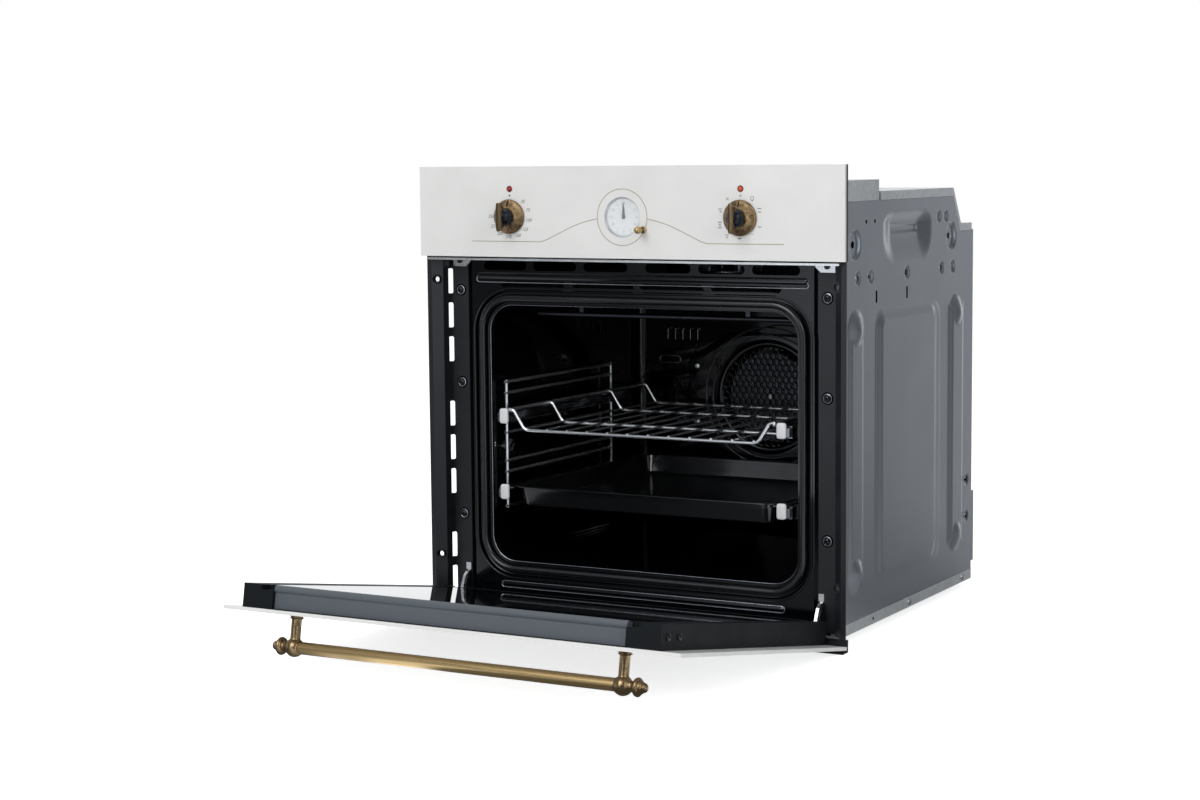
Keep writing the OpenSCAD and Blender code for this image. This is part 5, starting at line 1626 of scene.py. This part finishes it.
    def _tray(self) -> None:
        """The tray: a profile of rim, wall and floor carried round a rounded rectangle, then a floor."""
        rim_z, y0, y1 = 157.25, 32.0, 394.0
        half, mid, deep = 184.0, (y0 + y1) / 2, (y1 - y0) / 2 - 2.5
        prof = curve_through(np.array([
            [7.9, 0.2], [8.0, 0.9], [7.2, 1.35], [3, 1.4], [0.9, 1.1], [-0.2, -0.2], [-1.6, -6],
            [-5.2, -20], [-6.6, -23.2], [-9.5, -24.4], [-14, -24.6]]), 4)
        under = curve_through(np.array([
            [-14, -25.6], [-9, -25.5], [-5.8, -24.2], [-4.2, -20.6], [-0.6, -6], [0.4, -0.6],
            [1.4, 0.05], [4, 0.1], [7.9, 0.2]]), 4)
        line = np.concatenate([prof, under])
        base, normal = loop(half, -deep, deep, 16.0, 10)
        xz = base[:, None] + normal[:, None] * line[None, :, :1]
        z = np.broadcast_to(line[None, :, 1], xz.shape[:2]) + rim_z
        points = np.stack([xz[..., 0], xz[..., 1] + mid, z], -1)
        wall = Sheet(points.reshape(-1, 3), grid_quads(len(base), len(line), wrap_rows=True))
        floors = []
        for edge in (points[:, len(prof) - 1], points[:, len(prof)]):
            centre = edge.mean(0)
            rows = np.stack([centre + (edge - centre) * k for k in (1.0, 0.97, 0.6, 0.0)])
            floors.append(Sheet(rows.reshape(-1, 3), grid_quads(4, len(edge), wrap_cols=True)))
        self.shop.piece("tray_shell", [wall, *floors], Look.TRAY_ENAMEL, "baking_tray", ("baking_tray",),
                        Body.LOWER_SHELF, 60)


@dataclass
class Casing:
    """Pressed side panels with their screws, and dark spots of painted shade where they have holes.

    The tables hold Y and Z of each place. A dent adds its radius and depth, a screw how far it is sunk,
    and a hole its radius and how far it is sunk. A rib is Y, lower and upper Z, half width, width of
    its foot and height.
    """

    shop: Workshop
    x: float = 278.0
    back: float = 480.5
    low: float = 13.7
    high: float = 528.7
    slope_y: tuple[float, float] = (404.0, 431.0)
    rear_z: float = 481.0
    round_end: tuple[float, float] = (25.0, 7.4)
    ribs: tuple[tuple[float, ...], ...] = (
        (70.5, 71.6, 372, 24.5, 10, 2.4), (414.8, 72.5, 372, 29.7, 13.5, 3.6))
    dents: tuple[tuple[float, ...], ...] = (
        (67, 476, 18.5, 3.4), (396, 476, 18.5, 3.4), (350, 502.7, 8, 2.4), (375.5, 502.7, 8, 2.4),
        (76, 435, 8.6, 2.4), (116.5, 435, 8.6, 2.4), (237.5, 435, 8.6, 2.4), (360, 435, 8.6, 2.4),
        (401.5, 435, 8.6, 2.4), (460, 141, 8, 1.8), (460, 91, 8, 1.8))
    screws: tuple[tuple[float, ...], ...] = (
        (396, 476, 3.4), (237.5, 435, 2.4), (76, 435, 2.4), (360, 435, 2.4), (460, 141, 1.8), (460, 91, 1.8),
        (249, 6.85, 0), (445, 6.85, 0))
    holes: tuple[tuple[float, ...], ...] = (
        (67, 476, 4.5, 3.4), (102.5, 503, 2.4, 0), (130, 503, 2.4, 0), (116.5, 435, 2.5, 2.4),
        (128, 6.85, 2.2, 0), (453, 141, 2.2, 0))

    def build(self) -> None:
        """Makes both side panels and what is on them."""
        side = self._panel()
        for name, sheet, node in (("side_right", side, "right_side_panel"),
                                  ("side_left", side.mirror(), "left_side_panel")):
            self.shop.piece(name, sheet, Look.CASING, node, (node,), crease=50, closed=False, thick=1.0)
        self._screws()

    def _relief(self, y: Array, z: Array) -> Array:
        """How deep the sheet is pressed in at each point; where it stands proud, the value is negative.

        It is made of smooth steps over the signed distance to the edge of each pressing.

        Args:
            y: Y of each point.
            z: Z of each point.

        Returns:
            The depth at each point.
        """
        def hollow(y0: float, y1: float, z0: float, z1: float, r: float) -> Array:
            """Signed distance to a rounded rectangle's edge, positive inside.

            Args:
                y0: Lowest Y.
                y1: Highest Y.
                z0: Lowest Z.
                z1: Highest Z.
                r: Corner radius.

            Returns:
                The distance at each point.
            """
            dy = np.abs(y - (y0 + y1) / 2) - (y1 - y0) / 2 + r
            dz = np.abs(z - (z0 + z1) / 2) - (z1 - z0) / 2 + r
            return r - np.hypot(np.maximum(dy, 0), np.maximum(dz, 0)) - np.minimum(np.maximum(dy, dz), 0)

        d = -0.5 * smoothstep(hollow(132, 356, 49, 393, 26) / 1.6)
        d = d - 3.2 * smoothstep(hollow(135.6, 341.5, 52, 391, 22) / 14.5)
        sides = np.minimum((y - 154) / 44, (325 - y) / 40)
        heights = np.minimum((515 - z) / 18, (z - 446) / 40)
        inside = 1 - np.hypot(np.clip(1 - sides, 0, 1), np.clip(1 - heights, 0, 1))
        grip = 7.0 * smoothstep(inside) + 2.4 * smoothstep(hollow(196, 290, 484.5, 496.5, 5) / 4)
        for cy, z0, z1, half, foot, proud in self.ribs:
            inside = np.minimum(half - np.abs(y - cy), np.minimum(z - z0, z1 - z) + 14)
            d = np.minimum(d, -proud * smoothstep(inside / foot))
            for cz in (z0, z1):
                away = np.clip(np.hypot(y - cy, z - cz) / self.round_end[0], 0, 1)
                d = np.minimum(d, -self.round_end[1] * (1 - away ** 2) ** 1.4)
        for cy, cz, r, depth in self.dents:
            dent = smoothstep((r - np.hypot(y - cy, z - cz)) / (0.15 * r + 1.6))
            d = d * (1 - dent) + depth * dent
        return np.where(grip > 0.01, np.maximum(d, grip), d)

    def _panel(self) -> Sheet:
        """The right panel: a height field over depth and height, joggled in at its front edge.

        Returns:
            The open sheet, facing outwards.
        """
        fold = np.array([[250.5, 33.3], [259, 33.3], [266.5, 33.4], [267.8, 34.2], [268, 36], [268, 38.5],
                         [268.5, 39.8], [270, 40.2], [275.5, 40.2], [277.4, 40.5], [278, 41.6]])
        flat = np.linspace(43.0, self.back, 282)
        ys = np.concatenate([fold[:, 1], flat])
        xs = np.concatenate([fold[:, 0], np.full(len(flat), self.x)])
        y0, y1 = self.slope_y
        top = self.high - np.clip((ys - y0) / (y1 - y0), 0, 1) * (self.high - self.rear_z)
        v = np.concatenate([np.linspace(0, 0.75, 160, endpoint=False), np.linspace(0.75, 1, 110)])
        z = self.low + (top - self.low)[:, None] * v
        y = ys[:, None] + 0 * z
        d = self._relief(y, z)
        d[: len(fold)] = 0
        points = np.stack([xs[:, None] - d, y, z], -1)
        return Sheet(points.reshape(-1, 3), grid_quads(len(ys), len(v))).flipped()

    def _screws(self) -> None:
        """Bright cross-head screws, most of them in dents, and dark spots of painted shade for the open holes
        and slots.
        """
        heads, slots = cross_screws(
            [(3.9, 0), (3.9, 0.5), (3.6, 1.6), (2.6, 2.2), (1.2, 2.3), (0.8, 1.6), (0, 1.5)],
            [(self.x - sunk, y, z) for y, z, sunk in self.screws], (1.2, 2.36), 1.7)
        spots = [spot(r, 0.12, (self.x - sunk, y, z), Axis.X) for y, z, r, sunk in self.holes]
        spots += [block(self.x - 0.2, self.x + 0.12, y - 2.4, y + 2.4, 402, 417, 0.1) for y in (135.6, 237.5)]
        self.shop.piece("side_screw_heads", heads, Look.SIDE_SCREW, "casing_screws")
        self.shop.piece("side_screw_slots", slots, Look.HOLE, "casing_screws")
        self.shop.piece("side_holes", Sheet.joined(spots).pair(), Look.HOLE, "right_side_panel")


@dataclass
class Door:
    """Door dressing: the screws on its sides."""

    shop: Workshop
    side_x: float = 271.3

    def build(self) -> None:
        """Makes the heads and their crosses, turned with the open door."""
        heads, slots = cross_screws(
            [(4.2, 0), (4.2, 0.5), (3.9, 1.4), (3.0, 2.0), (1.2, 2.1), (0.8, 1.4), (0, 1.3)],
            [(self.side_x, 8.1, 435), (self.side_x, 8.3, 409)], (1.1, 2.2), 1.8)
        self.shop.piece("door_screw_heads", heads.door(), Look.SCREW, "door_screws", (), Body.DOOR)
        # The crosses are dark bars of painted shade.
        self.shop.piece("door_screw_slots", slots.door(), Look.HOLE, "door_screws", (), Body.DOOR)


@dataclass
class Studio:
    """Floor, background, lamps and the camera at the photo's angle."""

    floor_z: float = -10.6
    eye: Point = (1372.52, -2539.52, 587.4)
    yaw: float = 29.07
    pitch: float = 6.03
    roll: float = -0.53
    focal_px: float = 2322.81
    image_w: float = 1200.0
    floor_glow: float = 0.74
    floor_shine: float = 0.88
    sky_level: float = 0.36
    room_gain: float = 2.4
    front_room: tuple[tuple[float, float], ...] = (
        (-1.0, 0.9), (-0.8, 0.5), (-0.6, 0.07), (-0.5, 0.09), (-0.44, 0.4), (-0.39, 1.2), (-0.33, 0.9),
        (-0.27, 2.2), (-0.15, 2.2), (-0.08, 0.2), (0.2, 0.1), (0.6, 0.08), (0.7, 1.6), (0.85, 1.8),
        (1.0, 1.0))
    back_room: tuple[tuple[float, float], ...] = (
        (-1.0, 1.1), (-0.42, 1.1), (-0.12, 1.3), (0.1, 1.1), (0.3, 0.6), (0.42, 0.45), (0.55, 0.18),
        (0.75, 0.12), (1.0, 0.4))
    back_ceiling: tuple[tuple[float, float], ...] = (
        (-1.0, 1.15), (-0.42, 1.15), (-0.2, 0.8), (0.1, 0.4), (0.4, 0.24), (0.8, 0.2), (1.0, 0.4))
    front_tint: Colour = (0.9, 0.97, 1.06)
    back_tint: Colour = (0.985, 0.995, 1.01)

    def build(self) -> None:
        """Makes the whole studio."""
        self._camera()
        self._floor()
        self._world()
        self._lamps()
        bpy.context.scene.view_settings.view_transform = "Standard"

    def _camera(self) -> None:
        """Places the camera from yaw, pitch and roll, with the lens that gives the photo's field of view."""
        yaw, pitch, roll = (math.radians(a) for a in (self.yaw, self.pitch, self.roll))
        ahead = Vector((-math.sin(yaw) * math.cos(pitch), math.cos(yaw) * math.cos(pitch), -math.sin(pitch)))
        right = Vector((math.cos(yaw), math.sin(yaw), 0))
        up = right.cross(ahead)
        r = right * math.cos(roll) + up * math.sin(roll)
        u = up * math.cos(roll) - right * math.sin(roll)
        camera = bpy.data.cameras.new("camera")
        camera.sensor_width = 36
        camera.lens = 36 * self.focal_px / self.image_w
        camera.clip_start, camera.clip_end = 0.1, 50
        thing = bpy.data.objects.new("camera", camera)
        bpy.context.scene.collection.objects.link(thing)
        turn = Matrix((r, u, -ahead)).transposed().to_4x4()
        thing.matrix_world = Matrix.Translation(Vector(self.eye) * MM) @ turn
        bpy.context.scene.camera = thing

    def _room(self) -> Tree:
        """Node group: what shiny surfaces see of the studio in a direction, dim in front and white behind.

        Returns:
            The finished group.
        """
        n = Group("studio_room", {"Direction": (0, 0, 0)}, ("Colour",))
        way = n.add("VectorMath", {0: n.given[0]}, operation="NORMALIZE").outputs[0]
        way = n.add("SeparateXYZ", {0: way}).outputs
        across = n.span(way["X"], -1.0)
        front, back, ceiling = (
            n.ramp(across, [((x + 1) / 2, tuple(v * c / self.room_gain for c in tint)) for x, v in stops])
            for stops, tint in ((self.front_room, self.front_tint), (self.back_room, self.back_tint),
                                (self.back_ceiling, self.back_tint)))
        back = n.mix(n.span(way["Z"], -0.05, 0.3, smooth=True), back, ceiling, True)
        both = n.mix(n.span(way["Y"], -0.2, 0.25, smooth=True), front, back, True)
        return n.give(n.add("VectorMath", {0: both, "Scale": self.room_gain}, operation="SCALE").outputs[0])

    def _backdrop_material(self) -> bpy.types.Material:
        """Pale floor: white to the camera, the studio room to mirrors, plain and pale to other light.

        Returns:
            The material.
        """
        material = bpy.data.materials.new("studio_floor")
        material.use_nodes = True
        n = Nodes(material.node_tree)
        glossy = n.add("LightPath").outputs["Is Glossy Ray"]
        room = n.use(self._room(), {0: n.at()}).outputs[0]
        glow = n.mix(glossy, self.floor_glow, self.floor_shine)
        n.feed(n.tree.nodes["Principled BSDF"], {
            "Roughness": 0.9, "Specular IOR Level": 0.0, "Base Color": n.mix(glossy, 0.86, 0.15),
            "Emission Color": n.mix(glossy, (1, 1, 1, 1), room, True),
            "Emission Strength": n.math("MULTIPLY", self._seen(n), glow)})
        return material

    def _seen(self, n: Nodes) -> Socket:
        """1 for rays that show the background: from the camera, off glossy surfaces and through glass.

        Args:
            n: Helper for the nodes that need it.

        Returns:
            A socket that is 1 or 0.
        """
        path = n.add("LightPath").outputs
        first = n.math("MAXIMUM", path["Is Camera Ray"], path["Is Transmission Ray"])
        return n.math("MAXIMUM", first, path["Is Glossy Ray"])

    def _floor(self) -> None:
        """A large level disc under the oven."""
        sheet = lathe([(0, 0), (2000, 0), (9000, 0)], (0, 0, self.floor_z), Axis.Z, 48)
        mesh = bpy.data.meshes.new("floor")
        mesh.from_pydata((sheet.points * MM).tolist(), [], sheet.quads.tolist())
        mesh.materials.append(self._backdrop_material())
        thing = bpy.data.objects.new("floor", mesh)
        bpy.context.scene.collection.objects.link(thing)

    def _world(self) -> None:
        """White background that shows the studio room to shiny surfaces, and gives little light."""
        world = bpy.data.worlds.new("studio")
        bpy.context.scene.world = world
        world.use_nodes = True
        n = Nodes(world.node_tree)
        room = n.use(bpy.data.node_groups["studio_room"], {0: n.at("Generated")}).outputs[0]
        glossy = n.add("LightPath").outputs["Is Glossy Ray"]
        n.feed(n.tree.nodes["Background"], {
            "Color": n.mix(glossy, (1, 1, 1, 1), room, True),
            "Strength": n.mix(self._seen(n), self.sky_level, 1.0)})

    def _lamp(self, name: str, at: Point, aim: Point, size: float, watts: float) -> None:
        """One soft square lamp in metres.

        Args:
            name: Its name.
            at: Its place.
            aim: The point that it faces.
            size: Its side length.
            watts: Its power.
        """
        lamp = bpy.data.lights.new(name, "AREA")
        lamp.size, lamp.energy = size, watts
        thing = bpy.data.objects.new(name, lamp)
        bpy.context.scene.collection.objects.link(thing)
        thing.location = at
        thing.rotation_mode = "QUATERNION"
        thing.rotation_quaternion = (Vector(aim) - Vector(at)).to_track_quat("-Z", "Y")

    def _lamps(self) -> None:
        """A large key in front, a fill at the right that models the pressed side, and a soft top lamp."""
        self._lamp("key", (-0.2, -3.3, 2.4), (0, 0.1, 0.3), 2.2, 77)
        self._lamp("fill", (2.5, -1.3, 1.9), (0.25, 0.1, 0.3), 1.3, 16)
        self._lamp("top", (0.3, 0.6, 3.0), (0, 0.3, 0.3), 2.0, 25)


def corners(pair: tuple[Vector, Vector]) -> list[list[float]]:
    """The two corners of a box as plain lists."""
    return [[round(float(v), 6) for v in p] for p in pair]


def main() -> None:
    """Loads the frame and builds every sub-assembly in order."""
    logging.basicConfig(level=logging.INFO, format="%(message)s")
    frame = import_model()
    shop = Workshop(frame)
    shop.dress_nodes()
    ControlPanel(shop).build()
    Knob(shop, "temperature_knob", -KNOB_X, Body.TEMPERATURE_KNOB).build()
    Knob(shop, "function_knob", KNOB_X, Body.FUNCTION_KNOB).build()
    Clock(shop).build()
    Handle(shop).build()
    Door(shop).build()
    FrontFrame(shop).build()
    Cavity(shop).build()
    Shelving(shop).build()
    Casing(shop).build()
    Studio().build()


if __name__ == "__main__":
    main()
